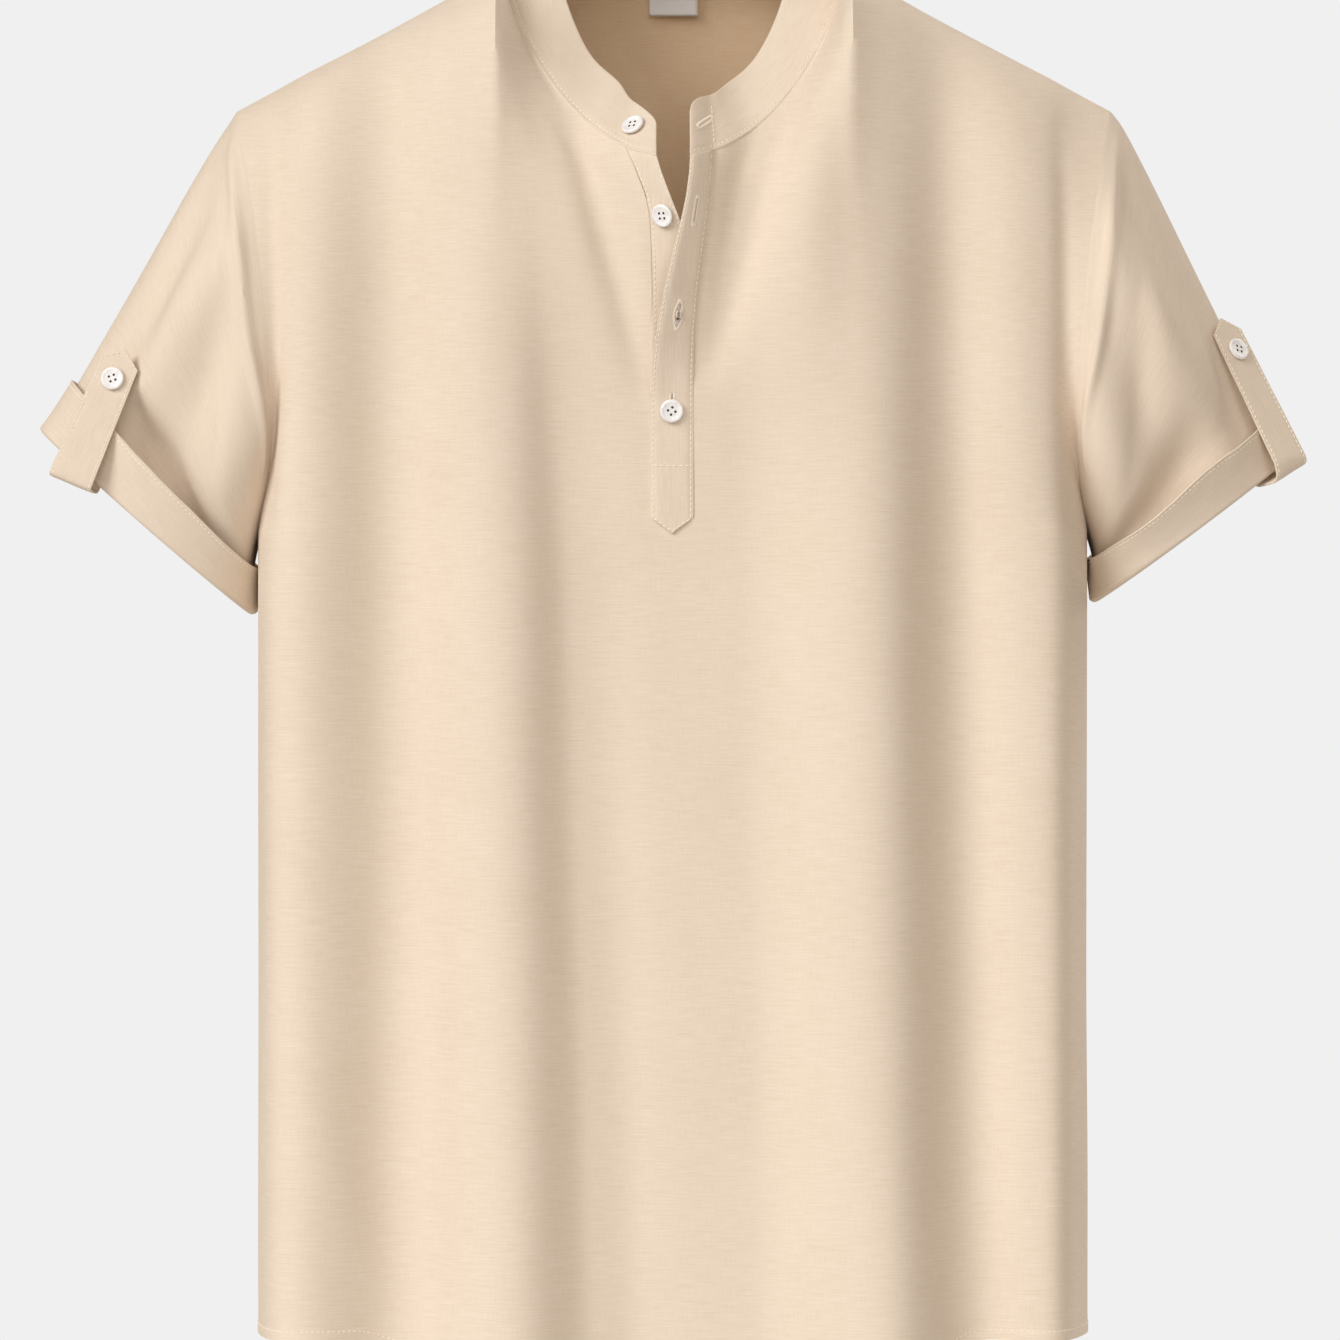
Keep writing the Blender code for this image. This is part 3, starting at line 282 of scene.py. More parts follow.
class Panel:
    """One of the two body pieces; `face` is -1 for the front and +1 for the back."""

    def __init__(self, face, depth, folds, armhole_y):
        self.face = face
        self.arc, self.out_x, self.out_y = quarter_outline(depth)
        self.half_arc = self.arc[-1]
        self.depth = depth
        self.folds = np.array(folds)
        self.armhole_y = armhole_y

    def outline(self, s):
        """Plan point of the body at arc length s from the centre line, with its outward direction."""
        reach = min(abs(s), self.half_arc)
        side = math.copysign(1.0, s)
        x = float(np.interp(reach, self.arc, self.out_x))
        y = float(np.interp(reach, self.arc, self.out_y))
        power = SECTION_POWER - 1.0
        out = np.array([side * (x / HALF_WIDTH) ** power / HALF_WIDTH,
                        self.face * (y / self.depth) ** power / self.depth, 0.0])
        return np.array([side * x, self.face * y, UNDERARM_Z]), unit(out)

    def fold_height(self, x, z):
        """How far the folds carry the cloth out at x, z: a cosine wave through the fold lines."""
        levels = FOLD_LEVELS[::-1]
        lines = np.array([np.interp(z, levels, row[0::2][::-1]) for row in self.folds])
        heights = np.array([np.interp(z, levels, row[1::2][::-1]) for row in self.folds])
        index = int(np.clip(np.searchsorted(lines, x) - 1, 0, len(lines) - 2))
        share = np.clip((x - lines[index]) / (lines[index + 1] - lines[index]), 0.0, 1.0)
        wave = (1.0 - math.cos(math.pi * share)) / 2.0
        return heights[index] + (heights[index + 1] - heights[index]) * wave

    def armhole(self, v, side):
        """Armhole point, v = 0 at the underarm and 1 at the shoulder."""
        turn = math.pi * v
        rise = (1.0 - math.cos(turn)) / 2.0
        x = HALF_WIDTH + (SHOULDER_X - HALF_WIDTH) * v - ARMHOLE_SCOOP * math.sin(math.pi * v ** 0.8) ** 2
        return np.array([side * x, self.armhole_y * math.sin(turn),
                         UNDERARM_Z + (SHOULDER_Z - UNDERARM_Z) * rise])

    def neck(self, x):
        """Neckline point and the direction in which the cloth reaches it."""
        share = min(abs(x) / NECK_HALF, 1.0)
        round_in = math.sqrt(1.0 - share * share)
        if self.face < 0:
            point = (x, NECK_FRONT_Y * round_in, NECK_FRONT_Z * round_in ** 1.5)
            tilt = math.radians(NECK_FRONT_TILT[0] + NECK_FRONT_TILT[1] * share ** 2)
        else:
            point = (x, NECK_BACK_Y * round_in ** 0.8, NECK_BACK_Z * round_in)
            tilt = math.radians(NECK_BACK_TILT[0] + NECK_BACK_TILT[1] * share ** 2)
        return np.array(point), np.array([0.0, -self.face * math.sin(tilt), math.cos(tilt)])

    @functools.cache
    def top(self, s):
        """Point of the neckline or shoulder seam at arc length s, and the pull towards it."""
        if abs(s) <= NECK_HALF:
            point, direction = self.neck(s)
            share = (abs(s) / NECK_HALF) ** 2
            return point, direction * (NECK_PULL[0] + NECK_PULL[1] * share)
        share = (abs(s) - NECK_HALF) / (self.half_arc - NECK_HALF)
        x = NECK_HALF + (SHOULDER_X - NECK_HALF) * share
        z = SHOULDER_Z * share
        depth = abs(self.outline(s)[0][1])
        end_pull = np.array([0.0, -self.face * SHOULDER_PULL * depth, 0.0])
        return np.array([math.copysign(x, s), 0.0, z]), end_pull

    def upper_sheet(self, s, v):
        """Unfolded cloth between underarm level (v = 0) and neckline or shoulder (v = 1)."""
        start, out = self.outline(s)
        end, end_pull = self.top(s)
        start_pull = np.array([0.0, 0.0, CHEST_PULL * (end[2] - start[2])])
        return hermite(start, end, start_pull, end_pull, v), out

    def point(self, s, row):
        """Outer face of the cloth. Row 0 is the hem, 1 the underarm level, 2 the top edge."""
        share = abs(s) / self.half_arc
        if row <= 1.0:
            base, out = self.outline(s)
            base[2] = hem_z(base[0]) + (UNDERARM_Z - hem_z(base[0])) * row
            return base + out * self.fold_height(base[0], base[2])
        v = row - 1.0
        side = math.copysign(1.0, s)
        tuck = ARMHOLE_TUCK * math.sin(math.pi * v) ** 0.8
        base, out = self.upper_sheet(s - side * self.half_arc * tuck * share ** 4, v)
        edge, _ = self.upper_sheet(side * self.half_arc * (1.0 - tuck), v)
        base = base + (self.armhole(v, side) - edge) * share ** 6
        fade = (1.0 - ease((v - FOLDS_END) / (1.0 - FOLDS_END))) * (1.0 - share ** 8)
        return base + out * self.fold_height(base[0], base[2]) * fade

    def row_at(self, s, z):
        """The row at which the cloth on line s reaches height z, from below the underarm to the top edge."""
        rows = np.concatenate((np.linspace(0.8, 1.0, 20, endpoint=False), np.linspace(1.0, 2.0, 121)))
        heights = [self.point(s, row)[2] for row in rows]
        return float(np.interp(z, heights, rows))


def hem_z(x):
    inner = 1.0 - ease((abs(x) - HEM_CURVE_IN) / (HEM_CURVE_OUT - HEM_CURVE_IN))
    return HEM_SIDE_Z + (HEM_CENTRE_Z - HEM_SIDE_Z) * inner


FRONT = Panel(-1, FRONT_DEPTH, FRONT_FOLDS, ARMHOLE_FRONT_Y)
BACK = Panel(1, BACK_DEPTH, BACK_FOLDS, ARMHOLE_BACK_Y)


# ---------------------------------------------------------------- neck opening


def opening(side, z):
    """Trough, seam and free edge of a placket strip at height z, and the free edge's lift."""
    table = np.array(OPENING)[::-1]
    first = SIDE_COLUMNS[side]
    return [float(np.interp(z, table[:, 0], table[:, column])) for column in range(first, first + 4)]


def opening_lift(x, z, side):
    """How far the cloth beside the neck opening stands out from the plain front, at x, z."""
    trough, seam, free, lift = opening(side, z)
    level = ease((z - PANEL_LIFT_END_Z) / (NECK_FRONT_Z - PANEL_LIFT_END_Z))
    beside = PANEL_LIFT * level * ease((x - trough) / (seam - trough))
    across = min(max((x - seam) / (free - seam), 0.0), 1.0)
    return beside + lift * (1.0 - (1.0 - across) ** STRIP_BOW)


def front_at(x, z, side, out=0.0):
    """Point of the front's outer face at x, z near the centre, with the opening's lift, moved out."""
    base = FRONT.point(x, FRONT.row_at(x, z))
    return np.array([x, base[1] - opening_lift(x, z, side) - out, z])


def neck_edge(x):
    """Front neckline point, with the lift that the strips give it."""
    point, _ = FRONT.neck(x)
    side = "right" if x < 0 else "left"
    point[1] -= opening_lift(x, point[2], side)
    return point


SLOT_ROW = FRONT.row_at(0.0, SLOT_Z)


# ---------------------------------------------------------------- collar, sleeves and tabs: their form


class Collar:
    """The band: a line round the neck with a rise at each place, measured from the wearer's right end."""

    def __init__(self):
        right_end, left_end = COLLAR_ENDS
        bend = [math.sin(a) for a in np.linspace(0.0, math.pi / 2, 61)]
        front_right = [neck_edge(right_end - (NECK_HALF + right_end) * b) for b in bend]
        back = [BACK.neck(NECK_HALF * math.sin(a))[0]
                for a in np.linspace(-math.pi / 2, math.pi / 2, 121)]
        front_left = [neck_edge(left_end + (NECK_HALF - left_end) * b) for b in reversed(bend)]
        self.line = np.array(front_right + back[1:-1] + front_left)
        self.arc = arc_lengths(self.line)
        self.length = self.arc[-1]

    def foot(self, station):
        at = min(max(station, 0.0), self.length)
        return np.array([np.interp(at, self.arc, self.line[:, k]) for k in range(3)])

    def point(self, station, share):
        """Outer face of the band, share 0 at the neckline and 1 at the top edge."""
        along = self.foot(station + 9.0) - self.foot(station - 9.0)
        inward = unit(np.array([along[1], -along[0], 0.0]))
        from_end = min(station, self.length - station)
        turned = ease(from_end / COLLAR_FRONT)
        inward = unit(inward * turned + np.array([0.0, 1.0, 0.0]) * (1.0 - turned))
        near_left = station > self.length / 2
        table = np.array(COLLAR_LEAN)
        lean = math.radians(float(np.mean([
            np.interp(2.0 * (from_end + shift) / self.length, table[:, 0], table[:, 2 if near_left else 1])
            for shift in (-12.0, -6.0, 0.0, 6.0, 12.0)])))
        rise = np.array([0.0, 0.0, math.cos(lean)]) + inward * math.sin(lean)
        long, high = COLLAR_CORNERS[1 if near_left else 0]
        cut = high * (1.0 - math.sqrt(1.0 - max(1.0 - from_end / long, 0.0) ** 2))
        return self.foot(station) + rise * (COLLAR_FOOT + (COLLAR_HEIGHT - cut) * share)


def body_side(y, z):
    """Distance of the body's side from the centre plane at y, z, below the shoulder."""
    panel = FRONT if y < 0 else BACK
    rise = min(max((z - UNDERARM_Z) / (SHOULDER_Z - UNDERARM_Z), 0.0), 1.0)
    edge = panel.armhole(math.acos(1.0 - 2.0 * rise) / math.pi, 1)[0]
    return edge * max(1.0 - (abs(y) / panel.depth) ** SECTION_POWER, 0.0) ** (1.0 / SECTION_POWER)


class Sleeve:
    """One sleeve; `side` is +1 for the wearer's left. Angle 0 is its outer edge, 90 degrees its front."""

    def __init__(self, name):
        self.side = side = 1 if name == "left" else -1
        (x, z, tilt, lean, self.half_long, self.half_short, self.height, self.slant, self.flare,
         self.front_flare) = CUFFS[name]
        tilt, lean = math.radians(tilt), math.radians(lean)
        self.outer_run = np.array([side * math.sin(lean), 0.0, -math.cos(lean)])
        self.out = np.array([side * math.cos(tilt), 0.0, math.sin(tilt)])
        self.down = np.array([side * math.sin(tilt), 0.0, -math.cos(tilt)])
        self.centre = np.array([side * x, 0.0, z])
        self.armholes = {}
        for panel in (FRONT, BACK):
            v = np.linspace(1.0, 0.0, 91)
            line = np.array([panel.armhole(value, side) for value in v])
            arc = arc_lengths(line)
            self.armholes[panel.face] = (arc / arc[-1] * math.pi, v)

    @functools.cache
    def start(self, angle):
        """Armhole point and the direction in which the sleeve leaves it."""
        turn = (angle + math.pi) % (2 * math.pi) - math.pi
        panel = FRONT if turn >= 0 else BACK
        turns, shares = self.armholes[panel.face]
        point = panel.armhole(float(np.interp(abs(turn), turns, shares)), self.side)
        hang = ease((abs(math.degrees(turn)) - HANG_FROM) / (HANG_FULL - HANG_FROM))
        mix = np.array([1.0, math.cos(turn), hang])
        full = panel.face * LEAVE_FULL * math.sin(abs(turn))
        return point, unit(np.array([self.side * (mix @ LEAVE_OUT), full, mix @ LEAVE_UP]))

    @functools.cache
    def end(self, angle):
        """Point of the cuff's edge, its outward direction and the direction of the cloth there."""
        c, s = math.cos(angle), math.sin(angle)
        front = np.array([0.0, -1.0, 0.0])
        point = self.centre + self.out * self.half_long * c + front * self.half_short * s
        outward = unit(self.out * c / self.half_long + front * s / self.half_short)
        upper = (1.0 + c) / 2.0
        run = np.array([self.side * 0.06, 0.0, -1.0]) * (1.0 - upper) + self.outer_run * upper
        return point, outward, unit(run)

    @functools.cache
    def tube(self, angle, t):
        """Outer face of the sleeve from the armhole (t = 0) to the cuff's fold (t = 1), without folds."""
        start, leave = self.start(angle)
        end, _, run = self.end(angle)
        mix = np.array([1.0, (1.0 + math.cos(angle)) / 2.0, math.sin(angle) ** 2])
        return hermite(start, end, leave * (mix @ START_PULL), run * (mix @ END_PULL), t)

    def outward(self, angle, t):
        """Outward normal of the tube."""
        step = 0.02
        low, high = max(t - step, 0.0), min(t + step, 1.0)
        round_it = self.tube(angle + step, t) - self.tube(angle - step, t)
        along = self.tube(angle, high) - self.tube(angle, low)
        return unit(np.cross(round_it, along)) * self.side

    def point(self, angle, t):
        """Outer face of the sleeve with its soft folds."""
        height = 0.0
        for at, spread, share, reach, lift in SLEEVE_FOLDS:
            turn = math.degrees(angle) - at
            turn = (turn + 180.0) % 360.0 - 180.0
            near = math.exp(-(turn / spread) ** 2 - ((t - share) / reach) ** 2)
            height += lift * near
        height *= ease(t / 0.2) * ease((1.0 - t) / 0.12)
        point = self.tube(angle, t) + self.outward(angle, t) * height
        point[0] = self.side * max(abs(point[0]), body_side(point[1], point[2]) + BODY_CLEAR * ease(t / 0.06))
        return point

    @functools.cache
    def above_fold(self, angle, height):
        """Point of the plain tube `height` along the cloth above the cuff's fold, and its normal."""
        t = np.linspace(1.0, 0.2, 33)
        line = np.array([self.tube(angle, value) for value in t])
        arc = arc_lengths(line)
        at = float(np.interp(max(height, 0.0), arc, t))
        return self.tube(angle, at) - self.down * min(height, 0.0), self.outward(angle, at)

    def band(self, angle, above, gap):
        """Point of the turned-back band, `above` the fold and `gap` off the sleeve's outer face."""
        point, outward = self.above_fold(angle, above)
        point = point + outward * gap
        point[0] = self.side * max(abs(point[0]), body_side(point[1], point[2]) + WALL + BODY_CLEAR)
        return point

    def band_height(self, angle):
        return self.height + self.slant * math.cos(angle)

    def band_flare(self, angle):
        return self.flare + self.front_flare * math.sin(angle) ** 2


class Tab:
    """The strip that holds a cuff up: it runs from inside the sleeve round the fold and up to its button.

    Its outer run is drawn straight from the sleeve under its tip over the edge of the turned-back band.
    Heights are measured along the tab from the middle of its lower edge.
    """

    def __init__(self, sleeve, name):
        self.sleeve = sleeve
        foot_x, foot_y, foot_z, tip_x, tip_z, turn, self.hang, self.button = TABS[name]
        turn = math.radians(turn)
        self.foot = np.array([sleeve.side * foot_x, foot_y, foot_z])
        run = np.array([sleeve.side * tip_x, foot_y, tip_z]) - self.foot
        self.rise = float(np.linalg.norm(run))
        self.up = unit(run)
        outer_side = np.array([self.up[2], 0.0, -self.up[0]]) * sleeve.side
        back = np.array([0.0, 1.0, 0.0])
        self.across = outer_side * math.cos(turn) + back * math.sin(turn)
        self.out = outer_side * math.sin(turn) - back * math.cos(turn)
        shell = [(sleeve.point(a, t), 0.0) for a in np.radians(np.arange(*TAB_SEES, 4.0))
                 for t in np.linspace(0.5, 1.0, 41) if sleeve.outward(a, t) @ self.out > 0.2]
        band = [(sleeve.band(a, sleeve.band_height(a) * share,
                             2 * FOLD_RADIUS + sleeve.band_flare(a) * share), WALL)
                for a in np.radians(np.arange(*TAB_SEES, 4.0)) for share in np.linspace(-0.1, 1.0, 12)]
        self.outer_line = self.line([self.measure(*spot) for spot in shell + band], self.rise - 12.0, 1.0)
        self.inner_line = self.line([self.measure(*spot) for spot in shell], TAB_INSIDE, -1.0)

    def measure(self, point, wall):
        """Height, place across and depth of a point, the depth with the wall on top of it."""
        apart = point - self.foot
        return apart @ self.up, apart @ self.across, apart @ self.out + wall

    def width(self, height):
        return TAB_WIDTH_FOOT + (TAB_WIDTH_TIP - TAB_WIDTH_FOOT) * height / self.rise

    def line(self, spots, high, way):
        """Heights and depths of a run that keeps off all spots, outside them or inside them (-1)."""
        keep = TAB_CLEAR + WALL if way > 0 else TAB_CLEAR + 2.3 * WALL
        near = [(h, way * d + keep) for h, side, d in spots
                if abs(side) < self.width(h) / 2 + 1.5 and h < high + 10.0]
        top = max(d for h, d in near if h > high - 4.0)
        bend_h, bend_d = max([spot for spot in near if spot[0] < high - 6.0],
                             key=lambda spot: (spot[1] - top) / (high - spot[0]))
        upper = (bend_d - top) / (high - bend_h)
        lower = upper
        if way < 0:
            lower = max((d - bend_d) / (bend_h - h) for h, d in near if h < bend_h - 4.0)
        depths = [bend_d + lower * bend_h, bend_d, top - upper * (self.rise - high)]
        return [0.0, bend_h, self.rise], [way * depth for depth in depths]

    def spot(self, run, height, side):
        """Point of a run; `side` is -1 at the tab's inner edge and +1 at its outer edge."""
        depth = float(np.interp(height, *run))
        return self.foot + self.up * height + self.out * depth + self.across * side * self.width(height) / 2

    def outer(self, height, side):
        return self.spot(self.outer_line, height, side)

    def inner(self, height, side):
        return self.spot(self.inner_line, height, side)


# ---------------------------------------------------------------- cloth grids and shells


class Cloth:
    """A grid of points (mm) on the outer face of a piece, rows of columns; `side` turns its outside over."""

    def __init__(self, points, side=1.0, closed=False):
        self.points = np.array(points, dtype=float)
        self.side = side
        self.closed = closed
        self.rows, self.columns = self.points.shape[:2]

    def normals(self):
        p = self.points
        if self.closed:
            across = np.roll(p, -1, axis=1) - np.roll(p, 1, axis=1)
        else:
            across = np.gradient(p, axis=1)
        normal = np.cross(across, np.gradient(p, axis=0)) * self.side
        return normal / np.linalg.norm(normal, axis=2, keepdims=True)

    def press(self, heights):
        """Move each point out by its height."""
        self.points = self.points + self.normals() * np.asarray(heights)[..., None]

    def spots(self, line):
        """Points and outward directions at fractional (row, column) places."""
        normals = self.normals()
        found = []
        for row, column in line:
            row = min(max(row, 0.0), self.rows - 1.0)
            r, c = int(min(row, self.rows - 2)), int(math.floor(column))
            if not self.closed:
                c = min(max(c, 0), self.columns - 2)
            v, u = row - r, column - c
            corners = [((r, c), (1 - u) * (1 - v)), ((r, c + 1), u * (1 - v)),
                       ((r + 1, c), (1 - u) * v), ((r + 1, c + 1), u * v)]
            point = sum(self.points[i, j % self.columns] * w for (i, j), w in corners)
            normal = sum(normals[i, j % self.columns] * w for (i, j), w in corners)
            found.append((point, unit(normal)))
        return found


def link(made):
    bpy.context.scene.collection.objects.link(made)
    return made


def shell(name, cloth, grain, finish, wall, left_out=(), inside=None):
    """The cloth's mesh, named for the piece: a surface thickened inward, with its grain as a UV map.

    `grain` gives metres across and along the weave for (row, column); `left_out` holds open cells. A piece
    with an `inside` finish is sewn to others, so that its rim stays crisp.
    """
    left_out = set(left_out)
    faces, corners = [], []
    for r in range(cloth.rows - 1):
        for c in range(cloth.columns if cloth.closed else cloth.columns - 1):
            if (r, c) in left_out:
                continue
            cell = [(r, c), (r, c + 1), (r + 1, c + 1), (r + 1, c)]
            if cloth.side < 0:
                cell.reverse()
            faces.append([i * cloth.columns + j % cloth.columns for i, j in cell])
            corners.extend(cell)
    used = np.unique(np.array(faces))
    place = {int(index): order for order, index in enumerate(used)}
    points = (cloth.points.reshape(-1, 3) * MM)[used]
    mesh = bpy.data.meshes.new(name)
    mesh.from_pydata(points.tolist(), [], [[place[i] for i in face] for face in faces])
    layer = mesh.uv_layers.new(name="grain")
    layer.uv.foreach_set("vector", np.array([grain(i, j) for i, j in corners], dtype=np.float32).ravel())
    mesh.shade_smooth()
    mesh.materials.append(finish)
    made = link(bpy.data.objects.new(name, mesh))
    thick = made.modifiers.new("Wall", "SOLIDIFY")
    thick.thickness = wall * MM
    thick.offset = -1.0
    # The inside finish goes on the inner faces. On the body panels it is the linen copy with painted warm
    # light.
    if inside:
        mesh.materials.append(inside)
        thick.material_offset = 1
        crisp = made.modifiers.new("Rim", "EDGE_SPLIT")
        crisp.split_angle = math.radians(50.0)
    return made


def dress(made, node):
    """Let a piece stand for its CAD node, which is hidden, and ride with the shirt."""
    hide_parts(node)
    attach(made, "root")


def band_heights(x, z, bands):
    """Heights at x, z of soft lines that run down the whole cloth, given at the levels of its folds."""
    total = np.zeros_like(x)
    levels = FOLD_LEVELS[::-1]
    for band in bands:
        line = np.interp(z, levels, band[0:6:2][::-1])
        height = np.interp(z, levels, band[1:6:2][::-1])
        total += height * np.exp(-((x - line) / band[6]) ** 2)
    return total


def crease_heights(x, z, creases):
    """Heights at x, z of soft ridges and troughs. Columns: both ends' x and z, half width, height."""
    total = np.zeros_like(x)
    for x0, z0, x1, z1, width, height in creases:
        run = np.array([x1 - x0, z1 - z0])
        along = np.clip(((x - x0) * run[0] + (z - z0) * run[1]) / (run @ run), 0.0, 1.0)
        away = np.hypot(x - x0 - run[0] * along, z - z0 - run[1] * along)
        total += height * np.exp(-(away / width) ** 2) * (4.0 * along * (1.0 - along)) ** 0.6
    return total


def ripple(points, size, seed):
    """Gentle unevenness of the cloth, from -1 to 1, stretched along Z."""
    scale = np.array([1.0, 1.0, 0.35]) / size
    flat = points.reshape(-1, 3) * scale + seed
    return np.array([noise.noise(Vector(p)) for p in flat]).reshape(points.shape[:2])


def edge_columns(width, middle):
    """Distances across a strip from edge to edge, close together near its folded edges."""
    inner = np.linspace(EDGE_STEPS[-1], width - EDGE_STEPS[-1], middle + 2)[1:-1]
    return list(EDGE_STEPS) + list(inner) + [width - step for step in reversed(EDGE_STEPS)]


def folded_edge(distance):
    """Height of a strip's face near its folded, stitched edge."""
    return (-EDGE_ROUND * np.exp(-(distance / 0.4) ** 2)
            - STITCH_DIP * np.exp(-((distance - EDGE_STEPS[STITCH_STEP]) / 0.6) ** 2))


class Thread:
    """Stitches gathered in one mesh that rides with its piece."""

    SIDES = 5
    RINGS = ((0.0, -0.25, 0.5), (0.2, 0.4, 1.0), (0.5, 0.7, 1.0), (0.8, 0.4, 1.0), (1.0, -0.25, 0.5))

    def __init__(self):
        self.points = []
        self.faces = []

    def stitch(self, start, end, outward, radius=STITCH_RADIUS):
        """One stitch, lying on the cloth from start to end (mm)."""
        side = unit(np.cross(end - start, outward))
        first = len(self.points)
        for along, lift, size in self.RINGS:
            centre = start + (end - start) * along + outward * radius * lift
            for k in range(self.SIDES):
                turn = 2 * math.pi * k / self.SIDES
                around = side * math.cos(turn) + outward * math.sin(turn)
                self.points.append(centre + around * radius * size)
        for ring in range(len(self.RINGS) - 1):
            for k in range(self.SIDES):
                a, b = first + ring * self.SIDES + k, first + ring * self.SIDES + (k + 1) % self.SIDES
                self.faces.append((a, b, b + self.SIDES, a + self.SIDES))
        last = len(self.points) - self.SIDES
        self.faces.append(tuple(range(first + self.SIDES - 1, first - 1, -1)))
        self.faces.append(tuple(range(last, last + self.SIDES)))

    def line(self, cloth, places):
        """A row of stitches through the (row, column) places of a cloth."""
        spots = cloth.spots(places)
        points = np.array([p for p, _ in spots])
        normals = np.array([n for _, n in spots])
        arc = arc_lengths(points)
        count = max(int(arc[-1] / STITCH_PITCH), 1)
        step = arc[-1] / count
        margin = step * (1.0 - STITCH_LENGTH / STITCH_PITCH) / 2

        def at(distance):
            return (np.array([np.interp(distance, arc, points[:, k]) for k in range(3)]),
                    unit(np.array([np.interp(distance, arc, normals[:, k]) for k in range(3)])))

        for k in range(count):
            start, out = at(step * k + margin)
            end, _ = at(step * (k + 1) - margin)
            self.stitch(start, end, out)

    def buttonhole(self, centre, along, outward, length, half_open=0.35):
        """Close satin stitches on both sides of a slit and across its two ends."""
        across = unit(np.cross(outward, along))
        count = int(length / SATIN_STEP)
        for k in range(count + 1):
            spot = centre + along * (length * (k / count - 0.5))
            bulge = half_open * math.sin(math.pi * k / count)
            for way in (-1.0, 1.0):
                inner = spot + across * way * (bulge + SLIT_EDGE)
                self.stitch(inner, inner + across * way * SATIN_BITE, outward, SATIN_RADIUS)
        for way in (-1.0, 1.0):
            tip = centre + along * way * (length / 2 + TACK_AT)
            for k in range(TACK_STITCHES):
                spot = tip + along * way * TACK_STEP * k
                self.stitch(spot - across * SATIN_BITE, spot + across * SATIN_BITE, outward, SATIN_RADIUS)

    def make(self, name, host, finish):
        mesh = bpy.data.meshes.new(name)
        mesh.from_pydata([tuple(p * MM) for p in self.points], [], self.faces)
        mesh.shade_smooth()
        mesh.materials.append(finish)
        made = link(bpy.data.objects.new(name, mesh))
        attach(made, "root")
        made.parent = host


# ---------------------------------------------------------------- materials


def node(tree, kind, inputs=None, **settings):
    """Add a shader node; an input is a plain value or another node's output."""
    made = tree.nodes.new("ShaderNode" + kind)
    for key, value in settings.items():
        setattr(made, key, value)
    for key, value in (inputs or {}).items():
        if isinstance(value, bpy.types.NodeSocket):
            tree.links.new(value, made.inputs[key])
        else:
            made.inputs[key].default_value = value
    return made


def new_material(name, roughness, **shader_values):
    made = bpy.data.materials.new(name)
    made.use_nodes = True
    shader = made.node_tree.nodes["Principled BSDF"]
    shader.inputs["Roughness"].default_value = roughness
    for key, value in shader_values.items():
        shader.inputs[key.replace("_", " ")].default_value = value
    return made, made.node_tree, shader


def mixed(tree, factor, first, second):
    """Go from one colour to another by a factor; a colour may be plain or another node's output."""
    made = node(tree, "Mix", {"Factor": factor, "A": first, "B": second}, data_type="RGBA")
    return made.outputs["Result"]


def finish_with(tree, shader, colour, height=None, strength=0.0, distance=0.0):
    """Give a shader its colour, and a fine relief where there is a height."""
    tree.links.new(colour, shader.inputs["Base Color"])
    if height is not None:
        bump = node(tree, "Bump", {"Strength": strength, "Distance": distance, "Height": height})
        tree.links.new(bump.outputs[0], shader.inputs["Normal"])


def threads(tree, grain, across, along, detail=2.0):
    """Noise drawn out along one set of the cloth's threads; scales are per metre."""
    scaled = node(tree, "VectorMath", {0: grain, 1: (across, along, 0.0)}, operation="MULTIPLY")
    made = node(tree, "TexNoise", {"Vector": scaled.outputs[0], "Scale": 1.0, "Detail": detail,
                                   "Roughness": 0.55}, noise_dimensions="2D")
    return made.outputs[0]


def linen(name, light, dark):
    """Plain-woven cloth with uneven, slubby threads that run mostly across the piece."""
    made, tree, shader = new_material(name, 0.88, Sheen_Weight=0.08, Sheen_Roughness=0.5,
                                      Specular_IOR_Level=0.2)
    grain = node(tree, "UVMap", uv_map="grain").outputs[0]
    weft = threads(tree, grain, 90.0, 1900.0)
    warp = threads(tree, grain, 1900.0, 110.0)
    slub = threads(tree, grain, 45.0, 900.0, 1.0)
    cloud = threads(tree, grain, 20.0, 16.0, 1.0)
    total = node(tree, "Math", {0: weft, 1: 0.50, 2: 0.0}, operation="MULTIPLY_ADD")
    for source, weight in ((warp, 0.30), (slub, 0.25), (cloud, 0.15)):
        total = node(tree, "Math", {0: source, 1: weight, 2: total.outputs[0]}, operation="MULTIPLY_ADD")
    tone = node(tree, "MapRange", {"Value": total.outputs[0], "From Min": 0.40, "From Max": 0.80})
    relief = node(tree, "Math", {0: weft, 1: warp}, operation="ADD")
    finish_with(tree, shader, mixed(tree, tone.outputs[0], dark, light), relief.outputs[0], 0.15, 0.0002)
    return made


def sewing_thread(name, colour):
    """Spun thread: a fine twist along the stitch."""
    made, tree, shader = new_material(name, 0.6, Sheen_Weight=0.2)
    shader.inputs["Base Color"].default_value = colour
    place = node(tree, "TexCoord").outputs["Object"]
    twist = node(tree, "TexNoise", {"Vector": place, "Scale": 4000.0, "Detail": 1.0})
    bump = node(tree, "Bump", {"Strength": 0.4, "Distance": 0.0001, "Height": twist.outputs[0]})
    tree.links.new(bump.outputs[0], shader.inputs["Normal"])
    return made


